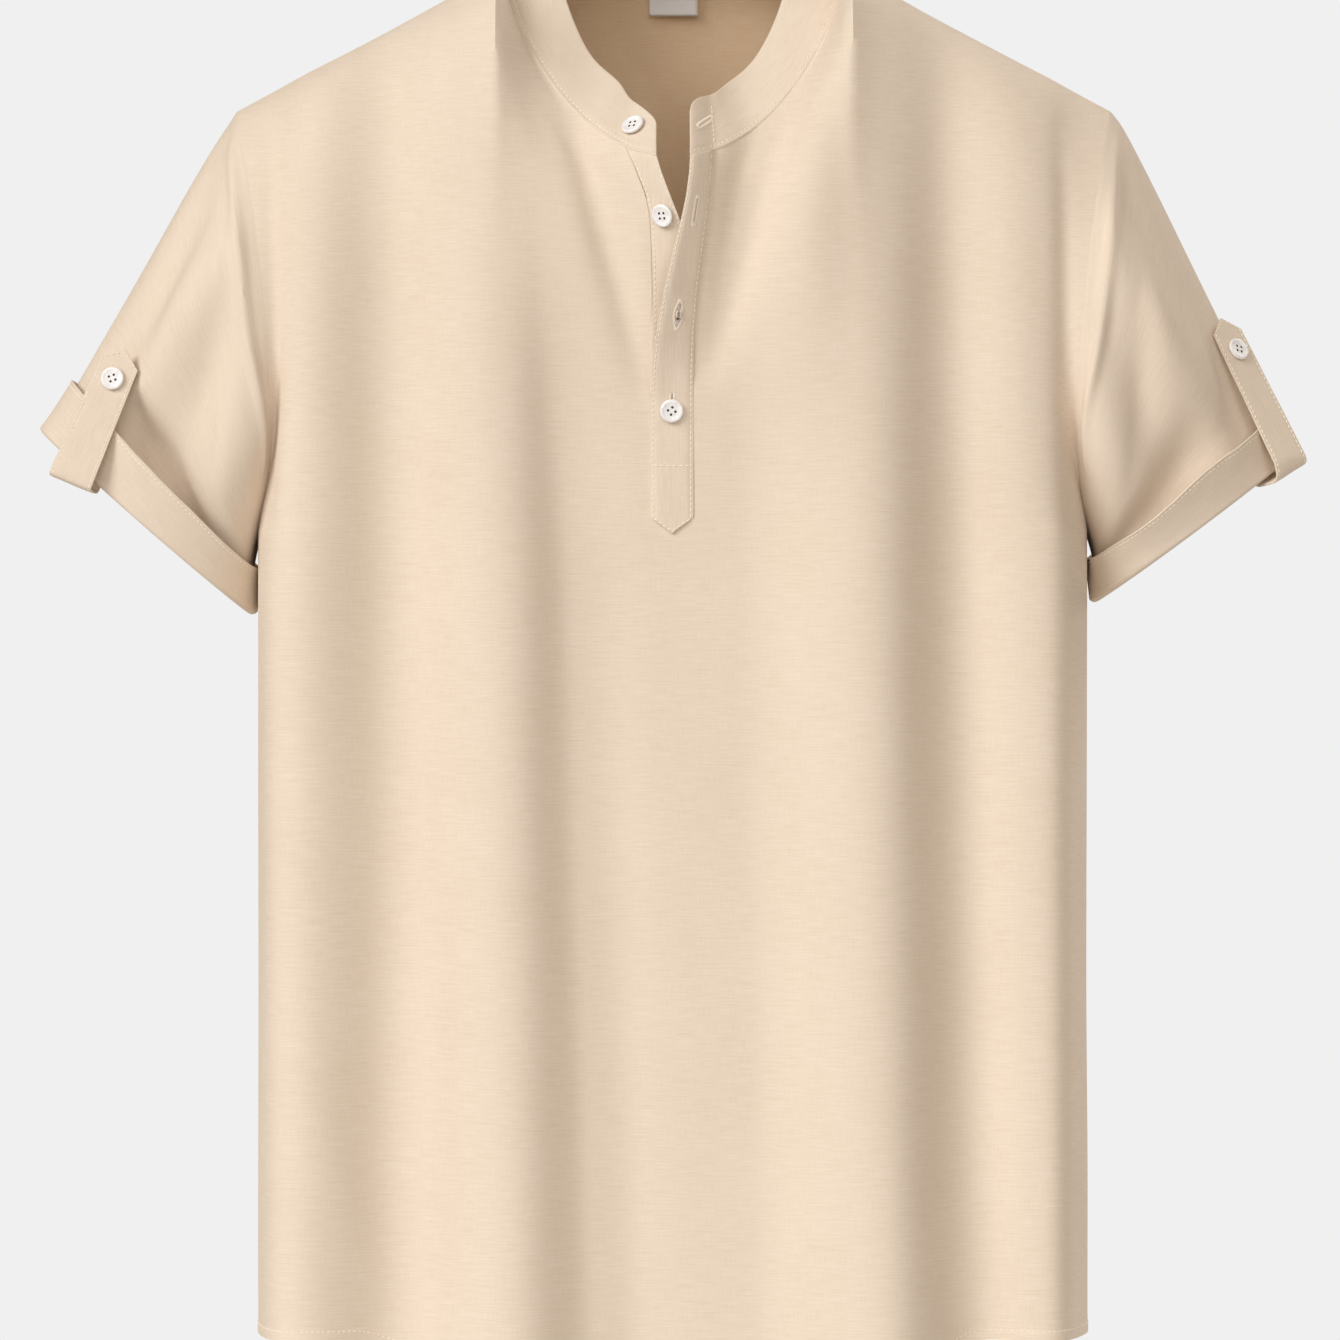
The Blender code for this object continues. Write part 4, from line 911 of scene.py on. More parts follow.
def pearl(name):
    """Milky button with soft clouds in it and a soft gloss, dark inside its four holes."""
    made, tree, shader = new_material(name, 0.38, Coat_Weight=0.25, Coat_Roughness=0.2)
    place = node(tree, "TexCoord").outputs["Object"]
    cloud = node(tree, "TexNoise", {"Vector": place, "Scale": 260.0, "Detail": 3.0, "Distortion": 1.2})
    tone = node(tree, "MapRange", {"Value": cloud.outputs[0], "From Min": 0.35, "From Max": 0.68})
    colour = mixed(tree, tone.outputs[0], (0.80, 0.78, 0.79, 1.0), (0.95, 0.94, 0.94, 1.0))
    quarter = node(tree, "VectorMath", {0: place}, operation="ABSOLUTE")
    flat = node(tree, "VectorMath", {0: quarter.outputs[0], 1: (1.0, 1.0, 0.0)}, operation="MULTIPLY")
    apart = node(tree, "VectorMath", {0: flat.outputs[0], 1: (HOLE_PLACE * MM, HOLE_PLACE * MM, 0.0)},
                 operation="DISTANCE")
    hole = node(tree, "MapRange", {"Value": apart.outputs["Value"], "From Min": (HOLE_RADIUS + 0.12) * MM,
                                   "From Max": HOLE_RADIUS * MM})
    finish_with(tree, shader, mixed(tree, hole.outputs[0], colour, (0.16, 0.12, 0.10, 1.0)))
    return made


def satin_tape(name):
    """White woven label tape."""
    made, tree, shader = new_material(name, 0.5, Sheen_Weight=0.2)
    grain = node(tree, "UVMap", uv_map="grain").outputs[0]
    fine = threads(tree, grain, 200.0, 3500.0)
    colour = mixed(tree, fine, (0.93, 0.93, 0.93, 1.0), (0.99, 0.99, 0.99, 1.0))
    finish_with(tree, shader, colour, fine, 0.3, 0.0001)
    return made


HOLE_PLACE = 1.35               # mm from a button's middle to each hole's, along X and Y
HOLE_RADIUS = 0.62

LINEN = linen("linen", (0.800, 0.690, 0.575, 1.0), (0.715, 0.600, 0.475, 1.0))
# Painted light: the body panels' inner faces take a warmer, more saturated copy of the linen. It paints the
# warm light that shines through the cloth and bounces inside, not a colour of the cloth itself.
LINEN_INSIDE_PAINTED_WARM_LIGHT = linen("linen_inside_painted_warm_light", (0.880, 0.680, 0.470, 1.0), (0.800, 0.590, 0.380, 1.0))
THREAD = sewing_thread("sewing_thread", (0.95, 0.86, 0.74, 1.0))
PEARL = pearl("pearl")
TAPE = satin_tape("label_tape")


# ---------------------------------------------------------------- body pieces

# Soft lines that make the broad folds of the solids steeper on their shaded sides. Columns: x and height
# (+ is out) at the shoulder blades, the waist and the hem; half width.
FRONT_BANDS = (
    (-196.0, 1.0, -197.0, 4.6, -197.0, 4.8, 19.0),
    (-156.0, -1.6, -146.0, -6.0, -145.0, -6.4, 23.0),
    (-102.0, 0.8, -90.0, 2.4, -86.0, 2.6, 18.0),
    (-73.0, -1.0, -44.0, -3.2, -20.0, -3.8, 21.0),
    (106.0, 0.4, 100.0, 2.4, 108.0, 3.0, 19.0),
    (140.0, -0.5, 141.0, -2.8, 152.0, -3.6, 20.0),
    (198.0, 0.8, 197.0, 2.0, 197.0, 2.0, 9.0),
)
BACK_BANDS = (
    (-118.0, 1.5, -116.0, 2.4, -106.0, 2.4, 13.0),
    (-88.0, -1.5, -84.0, -2.4, -72.0, -2.4, 13.0),
    (74.0, 1.5, 78.0, 2.4, 74.0, 2.2, 14.0),
    (112.0, -1.5, 122.0, -2.4, 118.0, -2.4, 14.0),
)
# Single creases. Columns: x and z of both ends, half width, height.
FRONT_CREASES = (
    (-58.0, -62.0, -12.0, -228.0, 8.0, -4.6),
    (60.0, -76.0, 16.0, -222.0, 9.0, -3.6),
    (-208.0, -78.0, -206.0, -300.0, 5.0, -3.8),
    (200.0, -78.0, 205.0, -300.0, 5.5, -3.0),
    (-196.0, -560.0, -150.0, -700.0, 12.0, 0.9),
)
BACK_CREASES = (
    (-60.0, -20.0, -96.0, -180.0, 8.0, -1.8),
    (70.0, -24.0, 100.0, -200.0, 9.0, -1.6),
    (200.0, -80.0, 204.0, -300.0, 7.0, -2.0),
    (-198.0, -84.0, -205.0, -300.0, 7.0, -2.2),
)
BODY_RIPPLE = (0.9, 46.0)       # height of the cloth's unevenness and its size
CREASE_FADE = 0.12              # creases fade out over this last part of the rows' numbers, which end at 2
EASE_FADE = 0.03                # and so does the easing beside the neck's corners
EASE_BESIDE = 4.0               # mm from a corner to where it is fullest
EASE_REACH = 34.0               # mm along the cloth over which it fades to each side
EASE_COLUMNS = 15               # columns on each side that it averages over
HEM_STITCH = 5.5                # mm above the hem's edge
HEM_STEP = 0.35                 # how far the turned-up hem stands out
HEM_PUCKER = (0.3, 5.0)         # depth of the puckers along its stitches and their size
FRONT_FINE = 58.0               # mm from the centre line within which the front's columns follow the slit


def body_cloth(panel, rows, line_at, bands, creases, seed):
    """A body panel's grid: creases, unevenness and the turned-up hem on the solid's form."""
    lines = [line_at(row) for row in rows]
    grid = [[panel.point(s, row) for s in line] for row, line in zip(rows, lines)]
    cloth = Cloth(grid, side=-panel.face)
    spans = np.array(lines)
    x, z = cloth.points[..., 0], cloth.points[..., 2]
    share = np.abs(spans) / panel.half_arc
    below_top = (2.0 - np.array(rows))[:, None]
    calm = (1.0 - share ** 12) * np.clip(below_top / CREASE_FADE, 0.0, 1.0)
    kernel = np.exp(-(np.arange(-EASE_COLUMNS, EASE_COLUMNS + 1) / (EASE_COLUMNS / 2)) ** 2)
    y = cloth.points[..., 1]
    wide = np.pad(y, ((0, 0), (EASE_COLUMNS, EASE_COLUMNS)), mode="edge")
    smooth = np.array([np.convolve(row, kernel / kernel.sum(), mode="valid") for row in wide])
    beside_neck = np.exp(-((np.abs(spans) - NECK_HALF - EASE_BESIDE) / EASE_REACH) ** 2)
    cloth.points[..., 1] += (smooth - y) * beside_neck * np.clip(below_top / EASE_FADE, 0.0, 1.0)
    heights = band_heights(x, z, bands) + crease_heights(x, z, creases)
    heights = (heights + BODY_RIPPLE[0] * ripple(cloth.points, BODY_RIPPLE[1], seed)) * calm
    above = z - np.array([[hem_z(value) for value in row] for row in x])
    hem = 1.0 / (1.0 + np.exp(np.clip((above - HEM_STITCH - 1.0) / 0.6, -40.0, 40.0)))
    depth, size = HEM_PUCKER
    pucker = depth * (1.0 + ripple(cloth.points * np.array([1.0, 1.0, 0.2]), size, seed + 9.0))
    heights += HEM_STEP * hem - np.exp(-((above - HEM_STITCH) / 1.1) ** 2) * pucker
    cloth.press(heights)
    return cloth, spans


def hem_rows():
    """Rows just above the hem, close together for its fold and stitching."""
    drop = UNDERARM_Z - HEM_CENTRE_Z
    return [distance / drop for distance in (0.0, 0.6, 2.0, 3.8, 4.8, 5.6, 6.6, 8.0, 11.0)]


def finish_body(name, cloth, spans, rows, left_out=()):
    """Show a body panel's cloth, with a row of stitches along its turned-up hem."""
    # The inner face takes the linen copy with painted warm light from light through the cloth and bounced
    # inside.
    made = shell(name, cloth, lambda r, c: (spans[r, c] * MM, cloth.points[r, c, 2] * MM), LINEN,
                 PANEL_WALL, left_out, LINEN_INSIDE_PAINTED_WARM_LIGHT)
    dress(made, name)
    row = float(np.interp(HEM_STITCH / (UNDERARM_Z - HEM_CENTRE_Z), rows, range(len(rows))))
    thread = Thread()
    thread.line(cloth, [(row, c) for c in range(2, cloth.columns - 2)])
    thread.make(name + "_stitches", made, THREAD)


def make_front():
    """The front, slit open above the placket's lower end."""
    low = hem_rows()
    below, beside, inner = 101, 61, 14      # rows below the slit and beside it; columns to each of its sides
    rows = low + list(np.linspace(low[-1], SLOT_ROW, below + 1)[1:])
    rows += list(np.linspace(SLOT_ROW, 2.0, beside + 1)[1:])
    outer = list(np.linspace(FRONT_FINE, FRONT.half_arc, 66))

    def line_at(row):
        z = FRONT.point(0.0, row)[2]
        seam_right = opening("right", z)[1] - SEAM
        seam_left = opening("left", z)[1]
        line = [-s for s in reversed(outer)]
        line += [-FRONT_FINE + (seam_right + FRONT_FINE) * k / inner for k in range(1, inner + 1)]
        line += [(seam_right + seam_left - SLOT_TUCK) / 2, seam_left - SLOT_TUCK]
        line += [seam_left + (FRONT_FINE - seam_left) * k / inner for k in range(inner)]
        return line + outer

    cloth, spans = body_cloth(FRONT, rows, line_at, FRONT_BANDS, FRONT_CREASES, 3.0)
    first = len(outer) + inner - 1
    for r, row in enumerate(rows):
        if row > 1.0:
            for c in range(cloth.columns):
                x, z = cloth.points[r, c, 0], cloth.points[r, c, 2]
                cloth.points[r, c, 1] -= opening_lift(x, z, "right" if c <= first else "left")
    slit = [(r, c) for r in range(len(low) + below - 1, len(rows) - 1) for c in (first, first + 1)]
    finish_body("front", cloth, spans, rows, slit)


def make_back():
    """The back, plain, with its columns close enough for its folds."""
    low = hem_rows()
    rows = low + list(np.linspace(low[-1], 1.0, 95)[1:]) + list(np.linspace(1.0, 2.0, 75)[1:])
    half = list(np.linspace(0.0, BACK.half_arc, 81))
    line = [-s for s in reversed(half[1:])] + half
    cloth, spans = body_cloth(BACK, rows, lambda row: line, BACK_BANDS, BACK_CREASES, 21.0)
    finish_body("back", cloth, spans, rows)


# ---------------------------------------------------------------- collar


def lapped_foot(collar, station):
    """Point of the collar's lower edge, which laps a little way over the body's cloth."""
    foot = collar.foot(station)
    panel = FRONT if foot[1] < 0 else BACK
    reach = panel.neck(float(np.clip(foot[0], -NECK_HALF, NECK_HALF)))[1]
    return foot - reach * 0.9 + np.array([0.0, panel.face * reach[2], abs(reach[1])]) * 0.35


COLLAR_HOLE = (10.5, 0.52)      # the buttonhole: mm from the wearer's left end, share of the band's height
COLLAR_HOLE_LENGTH = 12.0
COLLAR_BUTTON = (16.5, 0.45)    # the button: mm from the right end, share of the height
COLLAR_BOX = 17.0               # a row of stitches crosses the band this far from its left end
# Its columns: mm from both ends while they are close together; then where the even ones start, and how many.
COLLAR_CLOSE = (0.0, 0.4, 1.0, 2.0, 3.0, 4.5, 6.0, 7.5, 9.0, 11.0, 13.0, 15.5, 18.0, 21.5, 25.0, 29.0)
COLLAR_EVEN = (34.0, 110)
COLLAR_RIPPLE = (0.5, 24.0)


def eased(collar, station, share):
    """A point of the collar, with the bends of its upper edge averaged out away from its two ends."""
    reach = float(np.clip((min(station, collar.length - station) - 14.0) * 0.8, 0.0, 11.0))
    near = sum(collar.point(station + reach * step, share) * weight
               for step, weight in ((-1.0, 1.0), (-0.5, 2.0), (0.0, 3.0), (0.5, 2.0), (1.0, 1.0))) / 9.0
    ease = min(share * 1.5, 1.0)
    return collar.point(station, share) * (1.0 - ease) + near * ease


def make_collar(collar):
    """The band round the neck, stitched along its foot, with a buttonhole near its left end."""
    start, count = COLLAR_EVEN
    middle = np.linspace(start, collar.length - start, count)
    stations = [*COLLAR_CLOSE, *middle, *(collar.length - end for end in reversed(COLLAR_CLOSE))]
    steps = [distance / COLLAR_HEIGHT for distance in edge_columns(COLLAR_HEIGHT, 7)]
    grid = [[eased(collar, station, share) for station in stations] for share in steps]
    cloth = Cloth([[lapped_foot(collar, station) for station in stations]] + grid, side=-1.0)
    steps = [-0.02] + steps
    from_foot = np.array(steps)[:, None] * COLLAR_HEIGHT
    from_end = np.minimum(np.array(stations), collar.length - np.array(stations))[None, :]
    edge = np.minimum(np.minimum(COLLAR_HEIGHT - from_foot, from_end), 50.0)
    heights = -EDGE_ROUND * np.exp(-(edge / 0.5) ** 2) * (from_foot > 0)
    heights = heights - STITCH_DIP * np.exp(-((from_foot - EDGE_STEPS[STITCH_STEP]) / 0.6) ** 2)
    calm = np.clip(from_end / 30.0, 0.0, 1.0) * np.sin(math.pi * np.array(steps))[:, None]
    cloth.press(heights + COLLAR_RIPPLE[0] * ripple(cloth.points, COLLAR_RIPPLE[1], 5.0) * calm)
    made = shell("collar", cloth, lambda r, c: (stations[c] * MM, steps[r] * COLLAR_HEIGHT * MM), LINEN,
                 COLLAR_WALL)
    dress(made, "collar")
    thread = Thread()
    thread.line(cloth, [(STITCH_STEP + 1, c) for c in range(3, cloth.columns - 3)])
    box = float(np.interp(collar.length - COLLAR_BOX, stations, range(len(stations))))
    thread.line(cloth, [(6.0, box), (13.0, box)])
    station, share, step = collar.length - COLLAR_HOLE[0], COLLAR_HOLE[1], 1.0
    centre = collar.point(station, share)
    along = unit(collar.point(station - step, share + 0.01) - collar.point(station + step, share - 0.01))
    up = collar.point(station, share + 0.1) - centre
    outward = unit(np.cross(along, up))
    if outward[1] > 0:
        outward = -outward
    thread.buttonhole(centre, along, outward, COLLAR_HOLE_LENGTH)
    thread.make("collar_stitches", made, THREAD)


# ---------------------------------------------------------------- placket strips

HOLE_HALF = 6.5                 # half a buttonhole's stitched length
# The top strip's buttonholes. Columns: z, half the slit's length, how far each side of it bulges open.
STRIP_HOLES = (
    (-133.0, HOLE_HALF, 0.15),
    (-185.5, 6.0, 1.5),
    (-231.5, HOLE_HALF, 0.15),
)
TOP_STRIP = 22.0                # widths of the two strips
UNDER_STRIP = 19.0
STRIP_ROWS = 150                # rows of the top strip beside the slit
STRIP_TIP = (0.15, 0.3, 0.45, 0.6, 0.72, 0.8, 0.86, 0.91, 0.96, 1.0)    # shares of the way to its point
STRIP_RIPPLE = (0.22, 9.0)
STITCH_BOX = 3.2                # its stitches turn at this many rows above the point


def strip_shares(width):
    """Shares across a strip, close together at its edges and beside the buttonholes in its middle."""
    near = [step / width for step in EDGE_STEPS]
    half = [0.2, 0.26, 0.32, 0.38, 0.43, 0.465]
    return near + half + [0.5] + [1.0 - s for s in reversed(half)] + [1.0 - s for s in reversed(near)]


def strip_line(row, side, shares, out):
    """A row of points across a strip at the given shares, moved out from the front."""
    z_row = FRONT.point(0.0, row)[2]
    _, seam, free, lift = opening(side, z_row)
    out *= math.hypot(1.0, STRIP_BOW * lift / (free - seam))
    points = []
    for share in shares:
        point = FRONT.point(seam + (free - seam) * share, row)
        point[1] -= opening_lift(point[0], point[2], side) + out
        points.append(point)
    return points


def strip_grain(cloth):
    return lambda r, c: (0.3 + cloth.points[r, c, 2] * MM, cloth.points[r, c, 0] * MM)


def press_strip(cloth, width, shares, seed, sink):
    """Fold a strip's edges over, sink them, and ruffle it a little. `sink`: depth and reach at both edges."""
    across = np.array(shares)[None, :] * width
    heights = folded_edge(across) + folded_edge(width - across)
    heights = heights - sink[0] * np.exp(-(across / sink[1]) ** 2)
    heights = heights - sink[2] * np.exp(-((width - across) / sink[3]) ** 2)
    cloth.press(heights + STRIP_RIPPLE[0] * ripple(cloth.points, STRIP_RIPPLE[1], seed))


def cut_hole(cloth, shares, z, half_length, half_open):
    """Open a slit in a strip's middle and give back the cells to leave out."""
    middle = shares.index(0.5)
    heights = cloth.points[:, middle, 2]
    rows = [r for r in range(cloth.rows) if abs(heights[r] - z) < half_length]
    first, last = min(rows), max(rows)
    for r in rows:
        place = (heights[r] - z) / half_length
        bulge = half_open * math.sqrt(max(1.0 - place * place, 0.0)) + SLIT_EDGE
        for column, way in ((middle - 1, 1), (middle + 1, -1)):
            toward = cloth.points[r, column] - cloth.points[r, middle]
            cloth.points[r, column] = cloth.points[r, middle] + unit(toward) * bulge
    return [(r, c) for r in range(first, last) for c in (middle - 1, middle)]


def make_top_strip():
    """The strip on the wearer's left: pointed, stitched round, with three buttonholes."""
    shares = strip_shares(TOP_STRIP)
    out = SEAM + WALL
    grid = [strip_line(row, "left", shares, out) for row in np.linspace(2.0, SLOT_ROW, STRIP_ROWS)]
    for z in np.linspace(SLOT_Z, TIP_SHOULDER_Z, 21)[1:]:
        grid.append(strip_line(FRONT.row_at(0.0, z), "left", shares, out))
    _, seam, free, _ = opening("left", TIP_SHOULDER_Z)
    for k in STRIP_TIP:
        line = []
        for share in shares:
            point_in = 1.0 - abs(2.0 * share - 1.0)
            line.append(front_at(seam + (free - seam) * share,
                                 TIP_SHOULDER_Z + ((TIP_Z - TIP_SHOULDER_Z) * point_in - 0.05) * k,
                                 "left", out))
        grid.append(line)
    cloth = Cloth(grid)
    press_strip(cloth, TOP_STRIP, shares, 7.0, (0.7, 2.4, 0.6, 2.4))
    holes = []
    for hole in STRIP_HOLES:
        holes += cut_hole(cloth, shares, *hole)
    made = shell("placket_top", cloth, strip_grain(cloth), LINEN, WALL, holes)
    dress(made, "placket_top")
    thread = Thread()
    low = cloth.rows - 1 - STITCH_BOX
    for column in (STITCH_STEP, len(shares) - 1 - STITCH_STEP):
        thread.line(cloth, [(r, column) for r in range(2, int(low) + 1)] + [(low, column)])
    for row in (low, STRIP_ROWS - 1.0):
        thread.line(cloth, [(row, c) for c in range(STITCH_STEP, len(shares) - STITCH_STEP)])
    middle = shares.index(0.5)
    for z, _, half_open in STRIP_HOLES:
        row = float(np.interp(-z, -cloth.points[:, middle, 2], range(cloth.rows)))
        (below, _), (centre, outward), (above, _) = cloth.spots([(row + 2, middle), (row, middle),
                                                                 (row - 2, middle)])
        thread.buttonhole(centre, unit(above - below), outward, 2 * HOLE_HALF, half_open)
    thread.make("placket_top_stitches", made, THREAD)


def make_under_strip():
    """The strip on the wearer's right, which carries the buttons."""
    shares = strip_shares(UNDER_STRIP)
    shares[0] = -1.5 / UNDER_STRIP      # its seam edge is tucked under the front
    grid = [strip_line(row, "right", shares, 0.0) for row in np.linspace(2.0, SLOT_ROW, 130)]
    cloth = Cloth(grid, side=-1.0)
    press_strip(cloth, UNDER_STRIP, shares, 13.0, (0.0, 1.0, 0.3, 2.4))
    cloth.press(np.where(np.array(shares) < 0.0, -1.0, 0.0)[None, :] + np.zeros((cloth.rows, 1)))
    made = shell("placket_under", cloth, strip_grain(cloth), LINEN, WALL)
    dress(made, "placket_under")
    thread = Thread()
    for column in (STITCH_STEP, len(shares) - 1 - STITCH_STEP):
        thread.line(cloth, [(r, column) for r in range(2, cloth.rows - 1)])
    thread.make("placket_under_stitches", made, THREAD)


# ---------------------------------------------------------------- sleeves

# Sleeve creases. Columns: angle from the outer edge towards the front and share along, at both ends; half
# width in mm; height.
SLEEVE_CREASES = {
    "right": (
        (18.0, 0.09, 140.0, 0.13, 7.0, 3.4),
        (4.0, 0.0, 46.0, 0.62, 10.0, -1.6),
        (30.0, 0.05, 64.0, 0.62, 11.0, 1.7),
        (66.0, 0.1, 104.0, 0.66, 10.0, -2.0),
        (92.0, 0.1, 118.0, 0.62, 10.0, 1.8),
        (-30.0, 0.05, 10.0, 0.9, 9.0, 2.0),
        (56.0, 0.74, 138.0, 0.90, 11.0, -12.0),
        (-60.0, 0.1, -90.0, 0.8, 9.0, -2.6),
        (-120.0, 0.2, -110.0, 0.8, 9.0, 2.4),
    ),
    "left": (
        (18.0, 0.09, 140.0, 0.13, 7.0, 3.0),
        (40.0, 0.12, 116.0, 0.62, 12.0, -1.8),
        (10.0, 0.05, 60.0, 0.8, 12.0, 1.8),
        (66.0, 0.3, 96.0, 0.85, 12.0, 1.6),
        (20.0, 0.5, 52.0, 0.95, 11.0, -1.2),
        (-30.0, 0.05, 4.0, 0.9, 9.0, 2.0),
        (-60.0, 0.1, -84.0, 0.8, 9.0, -2.6),
        (-120.0, 0.2, -104.0, 0.8, 9.0, 2.4),
    ),
}
SLEEVE_LENGTH = 185.0           # mm along a sleeve, for its creases and weave
SLEEVE_ROUND = 0.95             # mm of its girth to one degree
SLEEVE_RIPPLE = (0.8, 40.0)
SLEEVE_COLUMNS = 144
TUBE_ROWS = 56
FOLD_STEPS = 6                  # of the half turn at the cuff's lower edge
BAND_RUFFLE = (0.45, 7.0)
BESIDE_BODY = (3.4, 0.835, 0.05)    # the sleeve fills towards the body: how far; share along and half spread
BAND_SHARES = (0.0, 0.1, 0.2, 0.32, 0.44, 0.56, 0.68, 0.78, 0.86, 0.91, 0.96, 1.0)
CUFF_WAVE = {"right": 0.0, "left": 1.6}     # mm up and down of a cuff's upper edge in front


def make_sleeve(sleeve, name):
    """A sleeve and its turned-back cuff, in one cloth."""
    angles = [2 * math.pi * k / SLEEVE_COLUMNS for k in range(SLEEVE_COLUMNS)]
    shares = list(np.linspace(0.0, 1.0, TUBE_ROWS))
    grid = [[sleeve.point(a, t) for a in angles] for t in shares]
    tube = Cloth(grid, side=sleeve.side, closed=True)
    turn = np.degrees(np.array(angles))[None, :] + np.zeros((len(shares), 1))
    turn = np.where(turn > 180.0, turn - 360.0, turn)
    along = np.array(shares)[:, None] + np.zeros((1, SLEEVE_COLUMNS))
    creases = [(a0 * SLEEVE_ROUND, t0 * SLEEVE_LENGTH, a1 * SLEEVE_ROUND, t1 * SLEEVE_LENGTH, width, height)
               for a0, t0, a1, t1, width, height in SLEEVE_CREASES[name]]
    heights = crease_heights(turn * SLEEVE_ROUND, along * SLEEVE_LENGTH, creases)
    heights += SLEEVE_RIPPLE[0] * ripple(tube.points, SLEEVE_RIPPLE[1], 30.0 + sleeve.side)
    calm = np.clip(along / 0.1, 0.0, 1.0) * np.clip((1.0 - along) / 0.06, 0.0, 1.0)
    under_arm = np.clip((np.abs(turn) - 150.0) / 20.0, 0.0, 1.0)
    fill, at, spread = BESIDE_BODY
    beside_body = np.clip((np.abs(turn) - 120.0) / 30.0, 0.0, 1.0) * np.exp(-((along - at) / spread) ** 2)
    tube.press(heights * calm * (1.0 - under_arm) + fill * beside_body)
    rows = [list(row) for row in tube.points]
    for k in range(1, FOLD_STEPS):
        turn_in = math.pi * k / FOLD_STEPS
        rows.append([sleeve.band(a, -FOLD_RADIUS * math.sin(turn_in), FOLD_RADIUS * (1 - math.cos(turn_in)))
                     for a in angles])
    wave = CUFF_WAVE[name]
    for share in BAND_SHARES:
        row = []
        for a in angles:
            height = sleeve.band_height(a) + wave * math.sin(5.0 * a + 1.0) * max(math.sin(a), 0.0) ** 2
            row.append(sleeve.band(a, height * share, 2 * FOLD_RADIUS + sleeve.band_flare(a) * share))
        rows.append(row)
    cloth = Cloth(rows, side=sleeve.side, closed=True)
    ruffle = BAND_RUFFLE[0] * ripple(cloth.points * np.array([1.0, 1.0, 0.5]), BAND_RUFFLE[1],
                                     50.0 + sleeve.side)
    up_band = np.concatenate((np.zeros(TUBE_ROWS + FOLD_STEPS - 1), np.array(BAND_SHARES) ** 2))[:, None]
    dip = np.exp(-((np.arange(cloth.rows) - (cloth.rows - 3)) / 0.7) ** 2)[:, None]
    cloth.press(ruffle * up_band + STITCH_DIP * dip)
    lengths = shares + [1.0 + 0.006 * k for k in range(1, FOLD_STEPS)]
    lengths += [1.04 + 0.17 * share for share in BAND_SHARES]

    def grain(r, c):
        return (c / SLEEVE_COLUMNS * 360.0 * SLEEVE_ROUND * MM, -lengths[r] * SLEEVE_LENGTH * MM)

    made = shell("sleeve_" + name, cloth, grain, LINEN, PANEL_WALL, (), LINEN)
    dress(made, "sleeve_" + name)
    thread = Thread()
    face = Cloth(cloth.points[-len(BAND_SHARES):], side=-sleeve.side, closed=True)
    face.press(np.full((face.rows, 1), PANEL_WALL))
    thread.line(face, [(face.rows - 3, c) for c in range(SLEEVE_COLUMNS)])
    thread.make("sleeve_" + name + "_stitches", made, THREAD)


# ---------------------------------------------------------------- tabs


TAB_INNER = (TAB_INSIDE, 24.0, 18.0, 12.0, 8.0, TAB_BEND)  # heights of the rows inside the sleeve
TAB_TURN = 10                   # steps of the turn at the lower edge
TAB_ROWS = 34
TAB_TIP = (0.2, 0.4, 0.55, 0.7, 0.8, 0.88, 0.95, 1.0)       # shares of the way to the point
TAB_RIPPLE = (0.3, 12.0)
TAB_GRAIN = 0.0022              # m of weave to a row


def make_tab(tab, name):
    """A tab, from inside the sleeve round the cuff's fold and up to its pointed end, stitched round."""
    width = (TAB_WIDTH_FOOT + TAB_WIDTH_TIP) / 2
    distances = edge_columns(width, 7)
    sides = [2.0 * d / width - 1.0 for d in distances]
    grid = [[tab.inner(h, side) for side in sides] for h in TAB_INNER]
    for k in range(1, TAB_TURN):
        turn = math.pi * k / TAB_TURN
        row = []
        for side in sides:
            inner, outer = tab.inner(TAB_BEND, side), tab.outer(TAB_BEND, side)
            swing = math.copysign(abs(math.cos(turn)) ** 0.5, math.cos(turn))
            row.append((inner + outer) / 2 - (outer - inner) / 2 * swing
                       - tab.up * (TAB_BEND + tab.hang * (1.0 - side) / 2) * math.sin(turn) ** 0.5)
        grid.append(row)
    first_outer = len(grid)
    shoulder = tab.rise - TAB_POINT
    grid += [[tab.outer(h, side) for side in sides] for h in np.linspace(TAB_BEND, shoulder, TAB_ROWS)]
    for k in TAB_TIP:
        grid.append([tab.outer(shoulder + (TAB_POINT * (1.0 - abs(side)) + 0.05) * k, side)
                     for side in sides])
    cloth = Cloth(grid, side=tab.sleeve.side)
    across = np.array(distances)[None, :]
    heights = folded_edge(across) + folded_edge(width - across)
    cloth.press(heights + TAB_RIPPLE[0] * ripple(cloth.points, TAB_RIPPLE[1], 40.0 + tab.sleeve.side))

    def grain(r, c):
        return (0.5 + r * TAB_GRAIN, distances[c] * MM)

    made = shell("tab_" + name, cloth, grain, LINEN, WALL)
    dress(made, "tab_" + name)
    thread = Thread()
    last = len(sides) - 1
    low = cloth.rows - 4.0
    for column in (STITCH_STEP, last - STITCH_STEP):
        thread.line(cloth, [(r, column) for r in range(first_outer - 5, int(low) + 1)])
    thread.line(cloth, [(low, c) for c in range(STITCH_STEP, last - STITCH_STEP + 1)])
    thread.make("tab_" + name + "_stitches", made, THREAD)


# ---------------------------------------------------------------- buttons and label


# A button's half section, from the middle of its face round its rim to its back. Columns: radius, height.
BUTTON_PROFILE = (
    (0.0, 1.74), (2.6, 1.74), (3.7, 1.80), (4.2, 2.0), (4.6, 2.14), (5.1, 2.2), (5.5, 2.1),
    (5.85, 1.82), (BUTTON_RADIUS, 1.4), (5.93, 0.75), (5.6, 0.3), (4.9, 0.05), (0.0, 0.0),
)
BUTTON_STEPS = 48
CUTTER_LENGTH = 0.01            # m; each hole's cutter stands from just above the button's back
CUTTER_Z = 0.0056
